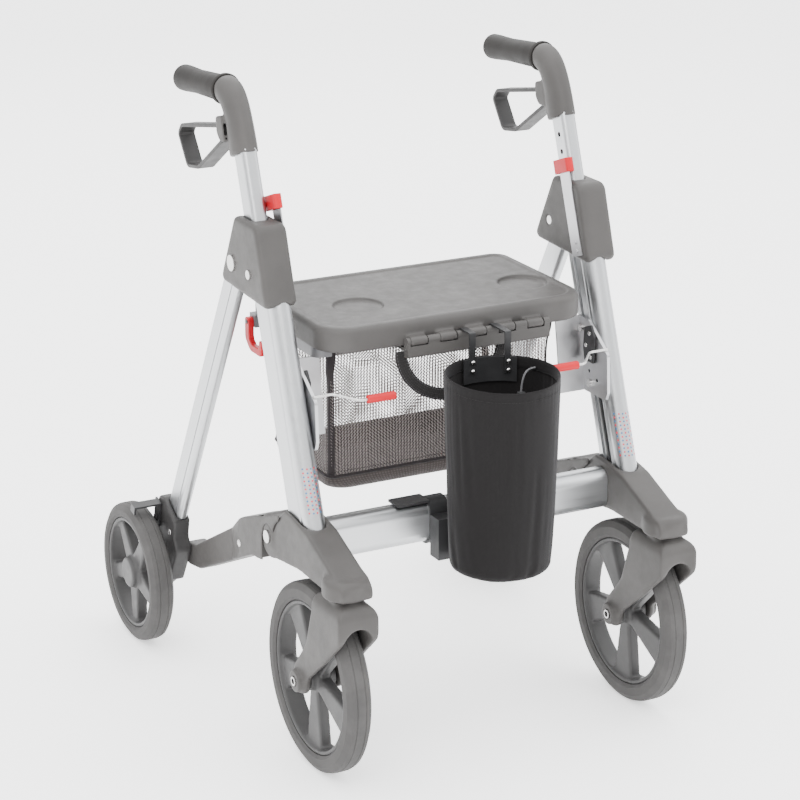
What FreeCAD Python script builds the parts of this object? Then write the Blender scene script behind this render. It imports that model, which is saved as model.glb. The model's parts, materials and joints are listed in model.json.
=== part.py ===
import FreeCAD, Part
import math
import os

V = FreeCAD.Vector
X_AXIS = V(1, 0, 0)

# A four-wheeled rollator walker.  Millimetres, +Z up, -Y forward, wheels on z = 0.
# The user stands behind it at +Y.  "left" is the user's left, +X; every left piece is
# drawn once and its right twin is its mirror image.  Side-view points are (y, z).

# ---- wheels and track
FRONT_WHEEL_R = 125.0
REAR_WHEEL_R = 100.0
TYRE_WIDTH = 34.0
FRONT_TRACK_X = 233.0
REAR_TRACK_X = 285.0
FRONT_AXLE_Y = -205.0
WHEELBASE = 491.0
CASTER_TRAIL = 80.0
FRONT_TYRE_DEPTH = 24.0
REAR_TYRE_DEPTH = 20.0
SPOKES = 5
AXLE_R = 6.0

# ---- front leg, post and handle
LEG_TILT = 19.6
LEG_REF = (-77.0, 600.0)
LEG_X = 231.0
LEG_DEPTH = 60.0
LEG_WIDTH = 30.0
LEG_FOOT_Z = 292.0
LEG_TOP_Z = 678.0
POST_X = 233.0
POST_DEPTH = 33.0
POST_WIDTH = 22.0
POST_OFFSET = 11.0
POST_FOOT_Z = 450.0
POST_TOP_Z = 776.0
POST_WALL = 2.5
POST_HOLE_PITCH = 22.0
POST_HOLES = 8
GRIP_FRONT = (50.0, 838.0)
GRIP_REAR = (190.0, 828.0)
GRIP_R = 17.0
GRIP_FLANGE_R = 20.5
GRIP_CORE_R = 11.0

# ---- rear leg and fold
FOLD_PIVOT = (-8.0, 626.0)
REAR_LEG_X = 245.0
REAR_LEG_DEPTH = 40.0
REAR_LEG_WIDTH = 15.0
FOLD_ANGLE = 24.0
ARM_PIVOT = (-100.0, 283.0)
ARM_END = (225.0, 140.0)
ARM_KNUCKLE_R = 30.0
ARM_BOSS_R = 15.0

# ---- seat, basket and bag
SEAT_TOP_Z = 563.0
SEAT_RIM_Z = 530.3
SEAT_HALF_WIDTH = 192.0
SEAT_FRONT_Y = -154.0
SEAT_REAR_Y = 86.0
SEAT_SKIN = 4.0
FRAME_Z = (514.0, 530.0)
FRAME_Y = (-104.0, 80.0)
FRAME_HALF = 186.0
HINGE_AXIS = (-163.0, 538.0)
KNUCKLE_R = 5.5
TAB_HALF = 12.5
HINGE_MIDDLE_X = 16.0
HINGE_PITCH = 42.5
HINGE_TABS = 5
BASKET_HALF_WIDTH = 167.0
BASKET_Y = (-100.0, 78.0)
BASKET_FLOOR_Z = 320.0
BASKET_WALL = 3.0
BAG_CENTRE = (3.0, -254.0)
BAG_R = 74.0
BAG_FOOT_R = 66.0
BAG_Z = (255.0, 512.0)
BAG_WALL = 3.0
BAG_FLOOR_CURVE = 12.0
BAG_HOOK_X = 19.0
HOOK_SPACING = 44.0

# ---- beam between the castings
BEAM_CENTRE = (-165.0, 294.0)
BEAM_SIZE = (34.0, 56.0)
CASTING_X = (208.0, 252.0)
STEM_TOP = 283.0
CHEEK = 2.5
CHEEK_GAP = 0.2
ARM_X = (CASTING_X[0] - CHEEK - CHEEK_GAP, CASTING_X[1] + CHEEK + CHEEK_GAP)
COVER_X = (212.0, 256.0)

# ---- fits
RUNNING = 0.05
GAP = 0.3

REAR_AXLE_Y = FRONT_AXLE_Y + WHEELBASE
FRONT_AXLE = (FRONT_AXLE_Y, FRONT_WHEEL_R)
REAR_AXLE = (REAR_AXLE_Y, REAR_WHEEL_R)
SWIVEL_Y = FRONT_AXLE_Y - CASTER_TRAIL
FOOTPRINT = (FRONT_AXLE_Y - FRONT_WHEEL_R, REAR_AXLE_Y + REAR_WHEEL_R)
MID_Y = (FOOTPRINT[0] + FOOTPRINT[1]) / 2


# ---- drawing helpers
def at(point, x=0.0):
    """The 3-D point of a side-view point at width x."""
    return V(x, point[0], point[1])


def corner_arcs(points):
    """Edges of a closed outline of 3-D corners, each (corner, radius), with tangent arcs."""
    starts, ends, mids = [], [], []
    count = len(points)
    for i in range(count):
        corner, radius = points[i]
        before = (points[i - 1][0] - corner).normalize()
        after = (points[(i + 1) % count][0] - corner).normalize()
        half_angle = before.getAngle(after) / 2
        bisector = before + after
        if radius <= 0 or bisector.Length < 1e-6:
            starts.append(corner)
            ends.append(corner)
            mids.append(None)
            continue
        bisector.normalize()
        reach = radius / math.tan(half_angle)
        starts.append(corner + before * reach)
        ends.append(corner + after * reach)
        mids.append(corner + bisector * (radius / math.sin(half_angle) - radius))
    edges = []
    for i in range(count):
        if mids[i] is not None:
            edges.append(Part.Arc(starts[i], mids[i], ends[i]).toShape())
        onward = starts[(i + 1) % count]
        if (onward - ends[i]).Length > 1e-6:
            edges.append(Part.LineSegment(ends[i], onward).toShape())
    return edges


def slab(points, x0, x1):
    """A side-view outline of (y, z, corner radius) points made solid from x0 to x1."""
    corners = [(V(x0, p[0], p[1]), p[2] if len(p) > 2 else 0.0) for p in points]
    face = Part.Face(Part.Wire(corner_arcs(corners)))
    return face.extrude(V(x1 - x0, 0, 0))


def plan(points, z0, z1):
    """A plan outline of (x, y, corner radius) points made solid from z0 to z1."""
    corners = [(V(p[0], p[1], z0), p[2] if len(p) > 2 else 0.0) for p in points]
    face = Part.Face(Part.Wire(corner_arcs(corners)))
    return face.extrude(V(0, 0, z1 - z0))


def front_slab(points, y0, y1):
    """A front-view outline of (x, z, corner radius) points made solid from y0 to y1."""
    corners = [(V(p[0], y0, p[1]), p[2] if len(p) > 2 else 0.0) for p in points]
    face = Part.Face(Part.Wire(corner_arcs(corners)))
    return face.extrude(V(0, y1 - y0, 0))


def rounded_box(x0, x1, y0, y1, z0, z1, radius):
    """A box with its upright corners rounded."""
    corners = [(x0, y0, radius), (x1, y0, radius), (x1, y1, radius), (x0, y1, radius)]
    return plan(corners, z0, z1)


def box(x0, x1, y0, y1, z0, z1):
    return Part.makeBox(x1 - x0, y1 - y0, z1 - z0, V(x0, y0, z0))


def disc(point, radius, x0, x1):
    """A cylinder along X at a side-view point."""
    return Part.makeCylinder(radius, x1 - x0, at(point, x0), X_AXIS)


def rod(start, end, radius):
    return Part.makeCylinder(radius, (end - start).Length, start, end - start)


def tilted(shape, origin, degrees):
    """Turns a shape about X at its own origin and puts that origin at a side-view point."""
    shape.rotate(V(0, 0, 0), X_AXIS, degrees)
    shape.translate(at(origin))
    return shape


def leg_frame(shape):
    """From (x, depth, station) coordinates of the front leg to the walker's."""
    return tilted(shape, LEG_REF, -LEG_TILT)


def station(z):
    """Distance along the front leg at height z."""
    return (z - LEG_REF[1]) / math.cos(math.radians(LEG_TILT))


def leg_point(z, depth=0.0):
    """Side-view point at a leg station of height z on its axis, moved back by depth."""
    tilt = math.radians(LEG_TILT)
    along = station(z)
    return (LEG_REF[0] + along * math.sin(tilt) + depth * math.cos(tilt),
            LEG_REF[1] + along * math.cos(tilt) - depth * math.sin(tilt))


REAR_TILT = math.degrees(math.atan2(REAR_AXLE[0] - FOLD_PIVOT[0], FOLD_PIVOT[1] - REAR_AXLE[1]))
REAR_LENGTH = math.hypot(REAR_AXLE[0] - FOLD_PIVOT[0], FOLD_PIVOT[1] - REAR_AXLE[1])


def rear_point(reach, back):
    """Side-view point at a distance below the fold pivot along the rear leg, moved back."""
    tilt = math.radians(REAR_TILT)
    return (FOLD_PIVOT[0] + reach * math.sin(tilt) + back * math.cos(tilt),
            FOLD_PIVOT[1] - reach * math.cos(tilt) + back * math.sin(tilt))


def rear_frame(shape):
    """From (x, back, -reach) coordinates of the rear leg to the walker's."""
    return tilted(shape, FOLD_PIVOT, REAR_TILT)


def union(shapes):
    return shapes[0].multiFuse(shapes[1:]).removeSplitter() if len(shapes) > 1 else shapes[0]


def bent_rod(points, radius, bend):
    """A round rod through 3-D points, with tangent bends at its inner points."""
    edges = []
    start = points[0]
    for i in range(1, len(points) - 1):
        corner = points[i]
        before = (points[i - 1] - corner).normalize()
        after = (points[i + 1] - corner).normalize()
        half_angle = before.getAngle(after) / 2
        reach = bend / math.tan(half_angle)
        bisector = (before + after).normalize()
        arc_start = corner + before * reach
        arc_mid = corner + bisector * (bend / math.sin(half_angle) - bend)
        arc_end = corner + after * reach
        edges.append(Part.LineSegment(start, arc_start).toShape())
        edges.append(Part.Arc(arc_start, arc_mid, arc_end).toShape())
        start = arc_end
    edges.append(Part.LineSegment(start, points[-1]).toShape())
    path = Part.Wire(edges)
    section = Part.Wire(Part.makeCircle(radius, points[0], points[1] - points[0]))
    return path.makePipeShell([section], True, False)


# ---- front leg, its casting and the junction cover
def leg_envelope(grow, foot_z, top_z):
    """The front leg's outer shape, grown all round, between two heights."""
    half_depth = LEG_DEPTH / 2 + grow
    half_width = LEG_WIDTH / 2 + grow
    low, high = station(foot_z), station(top_z)
    lobe = Part.makeCylinder(half_width - 0.5, high - low, V(LEG_X, half_width - half_depth, low))
    web = rounded_box(LEG_X - half_width, LEG_X + half_width, -LEG_DEPTH / 4, half_depth,
                      low, high, 8.0)
    neck = box(LEG_X - half_width + 2.5, LEG_X + half_width - 2.5, -LEG_DEPTH / 3, 0, low, high)
    return leg_frame(union([lobe, web, neck]))


def post_envelope(grow, foot_z, top_z):
    """The post's outer shape, grown all round, between two heights."""
    return leg_frame(rounded_box(
        POST_X - POST_WIDTH / 2 - grow, POST_X + POST_WIDTH / 2 + grow,
        POST_OFFSET - POST_DEPTH / 2 - grow, POST_OFFSET + POST_DEPTH / 2 + grow,
        station(foot_z), station(top_z), 7.0))


def front_leg():
    low, high = station(LEG_FOOT_Z), station(LEG_TOP_Z)
    inner_face = LEG_X - LEG_WIDTH / 2
    lobe_bore = leg_frame(Part.makeCylinder(8.5, high - low, V(LEG_X, -LEG_DEPTH / 2 + 14, low)))
    slot_mouth = box(inner_face - 1, inner_face + 2, POST_OFFSET - 3.5, POST_OFFSET + 3.5, low, high)
    slot_head = box(inner_face + 1.8, inner_face + 4, POST_OFFSET - 6, POST_OFFSET + 6, low, high)
    groove = box(inner_face - 1, inner_face + 1.2, -7.5, -5.5, low, high)
    cuts = [post_envelope(GAP, LEG_FOOT_Z - 2, LEG_TOP_Z + 2), lobe_bore,
            leg_frame(slot_mouth), leg_frame(slot_head), leg_frame(groove)]
    return leg_envelope(0.0, LEG_FOOT_Z, LEG_TOP_Z).cut(union(cuts))


def casting_outline():
    """The casting's side view: nose over the caster, hump behind the leg, knuckle."""
    return [(-314, 266, 5), (-314, 286, 16), (-262, 306, 60), (-214, 325, 40), (-170, 333, 20),
            (-146, 334, 6), (-126, 318, 6), (-100, 312, 0), (-100, 254, 0), (-130, 259, 80),
            (-189, 267, 80), (-262, 266, 20)]


def front_casting():
    knuckle = disc(ARM_PIVOT, ARM_KNUCKLE_R, *CASTING_X)
    boss = disc(ARM_PIVOT, ARM_BOSS_R, *ARM_X)
    nose = Part.makeCylinder(30, 26, V(FRONT_TRACK_X, SWIVEL_Y, 266))
    nose = nose.makeFillet(8, [nose.Edges[0]])
    side_trim = plan([(196, -330), (196, SWIVEL_Y, 40), (CASTING_X[0] + 5, SWIVEL_Y + 36, 40),
                      (CASTING_X[0] + 5, -330)], 240, 345)
    stem_bore = Part.makeCylinder(8 + RUNNING, STEM_TOP - 265, V(FRONT_TRACK_X, SWIVEL_Y, 265))
    bolt_bore = disc(ARM_PIVOT, 5 + RUNNING, 200, 260)
    body = slab(casting_outline(), *CASTING_X).cut(side_trim)
    cuts = [leg_envelope(RUNNING, LEG_FOOT_Z, 360), stem_bore, bolt_bore]
    return union([body, knuckle, boss, nose]).cut(union(cuts))


def cover_outline():
    return [(-14, 690, 10), (-82, 690, 14), (-115, 588, 9), (34, 594, 9)]


def fold_slot():
    """The space in the cover that the rear leg needs from open to folded."""
    near, far = REAR_LEG_X - REAR_LEG_WIDTH / 2 - 0.5, REAR_LEG_X + REAR_LEG_WIDTH / 2 + 0.5
    reach = 90.0
    half = REAR_LEG_DEPTH / 2 + 1.0
    stroke = 12.0
    steps = int(FOLD_ANGLE // stroke) + 1
    bars = [disc(FOLD_PIVOT, half, near, far)]
    for k in range(steps):
        bar = box(near, far, -half, half, -reach, 0)
        bars.append(tilted(bar, FOLD_PIVOT, REAR_TILT - k * stroke))
    return union(bars)


def junction_cover():
    shell = slab(cover_outline(), *COVER_X)
    rim = [e for e in shell.Edges if e.BoundBox.XLength < 1e-6]
    shell = shell.makeFillet(6.0, rim)
    small_bolt = disc(leg_point(626, 8), 3 + RUNNING, COVER_X[1] - 13, COVER_X[1] + 1)
    cuts = [leg_envelope(RUNNING, 560, LEG_TOP_Z), post_envelope(0.4, 660, 700), fold_slot(),
            disc(FOLD_PIVOT, 6 + RUNNING, 200, 262), small_bolt]
    return shell.cut(union(cuts))


def pivot_bolts():
    """Fold bolt, arm bolt and cover screw of one side, as separate solids."""
    fold_bolt = union([disc(FOLD_PIVOT, 6, COVER_X[0] + 0.5, COVER_X[1] + 1),
                       disc(FOLD_PIVOT, 10.5, COVER_X[1], COVER_X[1] + 2.5)])
    arm_bolt = union([disc(ARM_PIVOT, 5, ARM_X[0] + 0.5, ARM_X[1] + 1),
                      disc(ARM_PIVOT, 8.5, ARM_X[1], ARM_X[1] + 2)])
    spot = leg_point(626, 8)
    cover_screw = union([disc(spot, 3, LEG_X + LEG_WIDTH / 2 + 0.2, COVER_X[1] + 1),
                         disc(spot, 6, COVER_X[1], COVER_X[1] + 2)])
    return [fold_bolt, arm_bolt, cover_screw]


def beam_outline(grow=0.0):
    half_y, half_z = BEAM_SIZE[0] / 2 + grow, BEAM_SIZE[1] / 2 + grow
    radius = BEAM_SIZE[0] / 2 - 1 + grow
    y, z = BEAM_CENTRE
    return [(y - half_y, z - half_z, radius), (y + half_y, z - half_z, radius),
            (y + half_y, z + half_z, radius), (y - half_y, z + half_z, radius)]


def cross_beam():
    wall = 3.0
    end = CASTING_X[0]
    return slab(beam_outline(), -end, end).cut(slab(beam_outline(-wall), -end - 1, end + 1))


# ---- handle: post, head, grip and brake lever
LEVER_PIVOT = (33.0, 788.0)
LEVER_BAND = 5.0
LEVER_X = (FRONT_TRACK_X - 6, FRONT_TRACK_X + 16)


def post():
    tube = post_envelope(0.0, POST_FOOT_Z, POST_TOP_Z)
    bore = post_envelope(-POST_WALL, POST_FOOT_Z - 2, POST_TOP_Z + 2)
    top = POST_TOP_Z - 28
    holes = [disc(leg_point(top - k * POST_HOLE_PITCH, POST_OFFSET), 3.2,
                  POST_X - POST_WIDTH / 2 - 1, POST_X - POST_WIDTH / 2 + POST_WALL + 1)
             for k in range(POST_HOLES)]
    return tube.cut(union([bore] + holes))


def oval(centre, normal_degrees, half_x, half_depth):
    """An elliptical section at a side-view point, its normal turned from +Z towards +Y."""
    turn = math.radians(normal_degrees)
    normal = V(0, math.sin(turn), math.cos(turn))
    flat = half_x >= half_depth
    major, minor = max(half_x, half_depth), min(half_x, half_depth)
    along = X_AXIS if flat else V(0, math.cos(turn), -math.sin(turn))
    curve = Part.Ellipse(at(centre, POST_X), major, minor)
    curve.Axis = normal
    curve.XAxis = along
    return Part.Wire(curve.toShape())


def grip_axis():
    start, end = at(GRIP_FRONT, POST_X), at(GRIP_REAR, POST_X)
    return start, (end - start).normalize(), (end - start).Length


def handle_head():
    sections = [oval((-2, 764), LEG_TILT, 17.0, 24.0), oval((8, 792), LEG_TILT + 4, 16.8, 23.0),
                oval((20, 818), LEG_TILT + 26, 17.0, 20.5),
                oval((34, 833), LEG_TILT + 50, 18.0, 19.0),
                oval(GRIP_FRONT, LEG_TILT + 74.5, 18.5, 18.6)]
    elbow = Part.makeLoft(sections, True, False)
    start, along, length = grip_axis()
    core = Part.makeCylinder(GRIP_CORE_R, length - 8, start - along * 2, along)
    ear = slab([(16, 776, 3), (26, 810, 2), (46, 806, 4), (44, 786, 8), (34, 776, 8)],
               POST_X - 15.5, POST_X + 19)
    slot = slab([(16, 774), (20, 802), (50, 800), (50, 770)], LEVER_X[0] - 0.5, LEVER_X[1] + 0.5)
    pin = disc(LEVER_PIVOT, 3, LEVER_X[0] - 3, LEVER_X[1] + 2)
    head = union([elbow, ear]).cut(slot)
    head = head.cut(post_envelope(RUNNING, POST_TOP_Z - 40, POST_TOP_Z))
    return union([head, core, pin])


def grip():
    start, along, length = grip_axis()
    profile = [(0, GRIP_CORE_R + RUNNING), (0, GRIP_FLANGE_R - 1), (2, GRIP_FLANGE_R),
               (5, GRIP_FLANGE_R), (8, GRIP_R - 1), (30, GRIP_R), (90, GRIP_R - 1.2),
               (length - 14, GRIP_R + 0.4), (length - 4, GRIP_R + 0.4), (length, GRIP_R - 4),
               (length, 0), (length - 9, 0), (length - 9, GRIP_CORE_R + RUNNING)]
    wire = Part.makePolygon([V(0, r, s) for s, r in profile + profile[:1]])
    body = Part.Face(wire).revolve(V(0, 0, 0), V(0, 0, 1), 360)
    slope = math.degrees(math.atan2(along.z, along.y))
    body.rotate(V(0, 0, 0), X_AXIS, slope - 90)
    body.translate(start + along * 0.1)
    return body


def lever_outline():
    return [(28, 799), (168, 772), (180, 757), (150, 716), (112, 722), (30, 775)]


def inset(points, depth):
    """A convex outline, listed clockwise in the side view, moved inwards."""
    lines = []
    for i in range(len(points)):
        (y0, z0), (y1, z1) = points[i], points[(i + 1) % len(points)]
        length = math.hypot(y1 - y0, z1 - z0)
        ny, nz = (z1 - z0) / length, (y0 - y1) / length
        lines.append((y0 + ny * depth, z0 + nz * depth, y1 - y0, z1 - z0))
    moved = []
    for i in range(len(lines)):
        ya, za, dya, dza = lines[i - 1]
        yb, zb, dyb, dzb = lines[i]
        share = ((yb - ya) * dzb - (zb - za) * dyb) / (dya * dzb - dza * dyb)
        moved.append((ya + dya * share, za + dza * share))
    return moved


def brake_lever():
    outer = lever_outline()
    inner = inset(outer, LEVER_BAND)
    outer_radii = [6, 12, 9, 14, 20, 8]
    inner_radii = [3, 7, 4, 9, 15, 3]
    band = slab([p + (r,) for p, r in zip(outer, outer_radii)], *LEVER_X)
    window = slab([p + (r,) for p, r in zip(inner, inner_radii)], LEVER_X[0] - 1, LEVER_X[1] + 1)
    eye = disc(LEVER_PIVOT, 8, *LEVER_X)
    bore = disc(LEVER_PIVOT, 3 + RUNNING, LEVER_X[0] - 1, LEVER_X[1] + 1)
    return union([band.cut(window), eye]).cut(bore)


# ---- rear leg, bracket, arm and brake shoe
BRACKET_X = (REAR_LEG_X - 9.5, REAR_LEG_X + 15)
ARM_REAR_OUTER_X = BRACKET_X[0] - 1.0
LEG_SOCKET_END = 560.0


def rear_leg_envelope(grow):
    half_width = REAR_LEG_WIDTH / 2 + grow
    half_depth = REAR_LEG_DEPTH / 2 + grow
    return rounded_box(REAR_LEG_X - half_width, REAR_LEG_X + half_width, -half_depth, half_depth,
                       -LEG_SOCKET_END, 0, 6.0)


def rear_leg():
    tube = rear_frame(rear_leg_envelope(0.0))
    top = disc(FOLD_PIVOT, REAR_LEG_DEPTH / 2, REAR_LEG_X - REAR_LEG_WIDTH / 2,
               REAR_LEG_X + REAR_LEG_WIDTH / 2)
    hollow = rear_frame(rounded_box(
        REAR_LEG_X - REAR_LEG_WIDTH / 2 + 2, REAR_LEG_X + REAR_LEG_WIDTH / 2 - 2,
        -REAR_LEG_DEPTH / 2 + 2, REAR_LEG_DEPTH / 2 - 2, -LEG_SOCKET_END - 2, -40, 4.0))
    outer_face = REAR_LEG_X + REAR_LEG_WIDTH / 2
    groove = rear_frame(box(outer_face - 1, outer_face + 1, -9, -7, -LEG_SOCKET_END, -30))
    bore = disc(FOLD_PIVOT, 6 + RUNNING, 230, 260)
    return union([tube, top]).cut(union([hollow, groove, bore]))


def rear_bracket():
    half = 20.0
    end = REAR_LENGTH
    ends = [(478, -23, 5), (476, 22, 5), (486, 37, 10), (522, 34, 20), (560, 22, 20),
            (end + half, half, 18), (end + half, -half, 18), (592, -34, 12), (580, -46, 8),
            (514, -47, 10), (504, -30, 12)]
    points = [rear_point(reach, back) + (radius,) for reach, back, radius in ends]
    body = slab(points, *BRACKET_X)
    rim = [e for e in body.Edges if abs(e.BoundBox.XMin - BRACKET_X[1]) < 1e-6
           and abs(e.BoundBox.XMax - BRACKET_X[1]) < 1e-6]
    body = body.makeFillet(2.0, rim)
    socket = rear_frame(rear_leg_envelope(RUNNING))
    axle_bore = disc(REAR_AXLE, AXLE_R, BRACKET_X[0] + 3, BRACKET_X[1] + 1)
    return body.cut(union([socket, axle_bore]))


def arm_side_cut():
    """What the arm's outer side loses so that its rear half passes inside the bracket."""
    return plan([(ARM_X[1] + 0.1, -8), (ARM_REAR_OUTER_X, 62), (ARM_REAR_OUTER_X, 280),
                 (ARM_X[1] + 9, 280), (ARM_X[1] + 9, -8)], 60, 360)


def rear_arm():
    """A tapering arm whose two thin cheeks reach forward over the casting's sides."""
    y, z = ARM_END
    solid_front = ARM_PIVOT[0] + ARM_KNUCKLE_R + 1
    rear = [(-16, 281, 90), (60, 237, 0), (196, 162, 20), (y + 8, z + 15, 12),
            (y + 15, z - 8, 12), (y - 4, z - 16, 10), (180, 131, 20), (-46, 238, 40)]
    body = slab([(solid_front, 301)] + rear + [(solid_front, 240)], *ARM_X)
    cheek = ([(-139, 326, 3), (-126, 322, 8)] + rear
             + [(-82, 242, 1), (-82, 283, 0), (-100, 283, 0), (-114, 292, 0), (-122, 306, 10),
                (-134, 316, 6)])
    cheeks = union([slab(cheek, ARM_X[0], ARM_X[0] + CHEEK), slab(cheek, ARM_X[1] - CHEEK, ARM_X[1])])
    boss_space = disc(ARM_PIVOT, ARM_BOSS_R + 0.4, 200, 260)
    return union([body, cheeks.cut(boss_space)]).cut(arm_side_cut())


SHOE_GAP = 14.0
SHOE_TILT = 14.0


def brake_shoe():
    inner = BRACKET_X[1] + 0.4
    outer = REAR_TRACK_X + TYRE_WIDTH / 2
    low = REAR_WHEEL_R + SHOE_GAP
    wing = box(inner, outer, -10, 4, low, low + 3)
    lip = box(outer - 3, outer, -10, 4, low - 9, low + 3)
    strap = box(inner, inner + 3, -10, 8, 78, low + 3)
    screw = Part.makeCylinder(5, 2, V(inner + 3, 0, 88), X_AXIS)
    return tilted(union([wing, lip, strap, screw]), REAR_AXLE, SHOE_TILT)


# ---- wheels and caster fork
def ring(point, outer_r, inner_r, x0, x1):
    return disc(point, outer_r, x0, x1).cut(disc(point, inner_r, x0 - 1, x1 + 1))


def tyre(axle, radius, depth, x):
    half = TYRE_WIDTH / 2
    crown = 9.0
    groove = 1.2
    profile = [(-half + 3, radius - depth), (-half, radius - depth + 4), (-half, radius - crown),
               (-half + 5, radius - 1.5), (-7, radius), (-6, radius - groove), (-5, radius),
               (5, radius), (6, radius - groove), (7, radius), (half - 5, radius - 1.5),
               (half, radius - crown), (half, radius - depth + 4), (half - 3, radius - depth)]
    wire = Part.makePolygon([V(px, pr, 0) for px, pr in profile + profile[:1]])
    body = Part.Face(wire).revolve(V(0, 0, 0), X_AXIS, 360)
    body.translate(at(axle, x))
    return body


def hub(axle, rim_r, boss_r, boss_half, spoke_roots, x, bore_end):
    """A spoked hub: rim ring, boss and wedge spokes; its rim seats in the tyre."""
    y, z = axle
    rim = ring(axle, rim_r, rim_r - 6, x - TYRE_WIDTH / 2 + 3, x + TYRE_WIDTH / 2 - 3)
    boss = disc(axle, boss_r, x - boss_half, x + boss_half)
    inner_half, outer_half = spoke_roots
    spokes = []
    for k in range(SPOKES):
        wedge = slab([(-inner_half, boss_r - 4), (inner_half, boss_r - 4),
                      (outer_half, rim_r - 4), (-outer_half, rim_r - 4)], x - 8, x + 8)
        wedge.rotate(V(0, 0, 0), X_AXIS, 360.0 / SPOKES * k + 36)
        wedge.translate(V(0, y, z))
        spokes.append(wedge)
    bore = disc(axle, AXLE_R + RUNNING, x - 40, bore_end)
    return union([rim, boss] + spokes).cut(bore)


FORK_GAP_HALF = 19.0
FORK_HALF = 28.0
FORK_TOP = 262.0


def caster_fork():
    x = FRONT_TRACK_X
    y, z = FRONT_AXLE
    outline = [(SWIVEL_Y - 37, FORK_TOP, 18), (SWIVEL_Y + 41, FORK_TOP, 8),
               (SWIVEL_Y + 44, 236, 20), (SWIVEL_Y + 62, 182, 50), (y + 17, z + 16, 10),
               (y + 18, z - 18, 17), (y - 17, z - 18, 17), (y - 20, z + 8, 14),
               (SWIVEL_Y + 8, 176, 60), (SWIVEL_Y - 38, 218, 20)]
    body = slab(outline, x - FORK_HALF, x + FORK_HALF)
    shoulders = [(x - FORK_HALF, z - 30), (x + FORK_HALF, z - 30),
                 (x + FORK_HALF, FORK_TOP, 18), (x - FORK_HALF, FORK_TOP, 18)]
    body = body.common(front_slab(shoulders, SWIVEL_Y - 60, y + 60))
    wheel_space = disc(FRONT_AXLE, FRONT_WHEEL_R + 6, x - FORK_GAP_HALF, x + FORK_GAP_HALF)
    arch_z = 214.0
    arch = Part.makeCylinder(FORK_GAP_HALF, 120, V(x, SWIVEL_Y - 60, arch_z), V(0, 1, 0))
    mouth = box(x - FORK_GAP_HALF, x + FORK_GAP_HALF, SWIVEL_Y - 60, y + 60, z - 60, arch_z)
    bosses = union([disc(FRONT_AXLE, 15, x + FORK_HALF - 1, x + FORK_HALF + 8),
                    disc(FRONT_AXLE, 15, x - FORK_HALF - 8, x - FORK_HALF + 1)])
    bore = disc(FRONT_AXLE, AXLE_R, x - 50, x + 50)
    stem = Part.makeCylinder(8, STEM_TOP - GAP - 253, V(x, SWIVEL_Y, 253))
    collar = Part.makeCylinder(22, 266 - GAP - FORK_TOP, V(x, SWIVEL_Y, FORK_TOP))
    fork = union([body.cut(union([wheel_space, arch, mouth])), bosses]).cut(bore)
    return union([fork, stem, collar])


def axle(point, x0, x1):
    return disc(point, AXLE_R, x0, x1)


def front_axle():
    """A tube plugged in the middle, open at both ends of the fork's bosses."""
    half, plug = FORK_HALF + 9, 14
    bar = axle(FRONT_AXLE, FRONT_TRACK_X - half, FRONT_TRACK_X + half)
    ends = [disc(FRONT_AXLE, AXLE_R - 2, FRONT_TRACK_X - half - 1, FRONT_TRACK_X - plug),
            disc(FRONT_AXLE, AXLE_R - 2, FRONT_TRACK_X + plug, FRONT_TRACK_X + half + 1)]
    return bar.cut(union(ends))


# ---- seat, hinge rail, basket and frame hook
def seat_plan(grow, z0, z1):
    half = SEAT_HALF_WIDTH + grow
    front, rear = SEAT_FRONT_Y - grow, SEAT_REAR_Y + grow
    round_front, round_rear = 44 + grow, 26 + grow
    return plan([(-half, front, round_front), (half, front, round_front),
                 (half, rear, round_rear), (-half, rear, round_rear)], z0, z1)


def tab_positions():
    middle = (HINGE_TABS - 1) / 2
    return [HINGE_MIDDLE_X + (k - middle) * HINGE_PITCH for k in range(HINGE_TABS)]


CUPS = ((-100.0, -55.0), (143.0, -58.0))
CUP_R = 33.0


def seat_lid():
    shell = seat_plan(0.0, SEAT_RIM_Z, SEAT_TOP_Z)
    top_rim = [e for e in shell.Edges if abs(e.BoundBox.ZMin - SEAT_TOP_Z) < 1e-6]
    shell = shell.makeFillet(9.0, top_rim)
    hollow = seat_plan(-SEAT_SKIN, SEAT_RIM_Z - 1, SEAT_TOP_Z - 12)
    cups = [Part.makeCylinder(CUP_R, 10, V(x, y, SEAT_TOP_Z - 6)) for x, y in CUPS]
    dish = seat_plan(-14.0, SEAT_TOP_Z - 2, SEAT_TOP_Z + 1)
    lid = shell.cut(union([hollow, dish] + cups))
    knuckles, bores = [], []
    y, z = HINGE_AXIS
    for x in tab_positions():
        arm = slab([(y, z - 6), (SEAT_FRONT_Y + 2, z - 6), (SEAT_FRONT_Y + 2, z + 6), (y, z + 6)],
                   x - TAB_HALF, x + TAB_HALF)
        knuckles += [disc(HINGE_AXIS, 6, x - TAB_HALF, x + TAB_HALF), arm]
        bores.append(disc(HINGE_AXIS, 2.5 + RUNNING, x - TAB_HALF - 1, x + TAB_HALF + 1))
    return union([lid] + knuckles).cut(union(bores))


RAIL_Y = (-168.0, -158.0)
RAIL_Z = (517.0, 536.0)
RAIL_X = (HINGE_MIDDLE_X - 102, HINGE_MIDDLE_X + 106)


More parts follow.
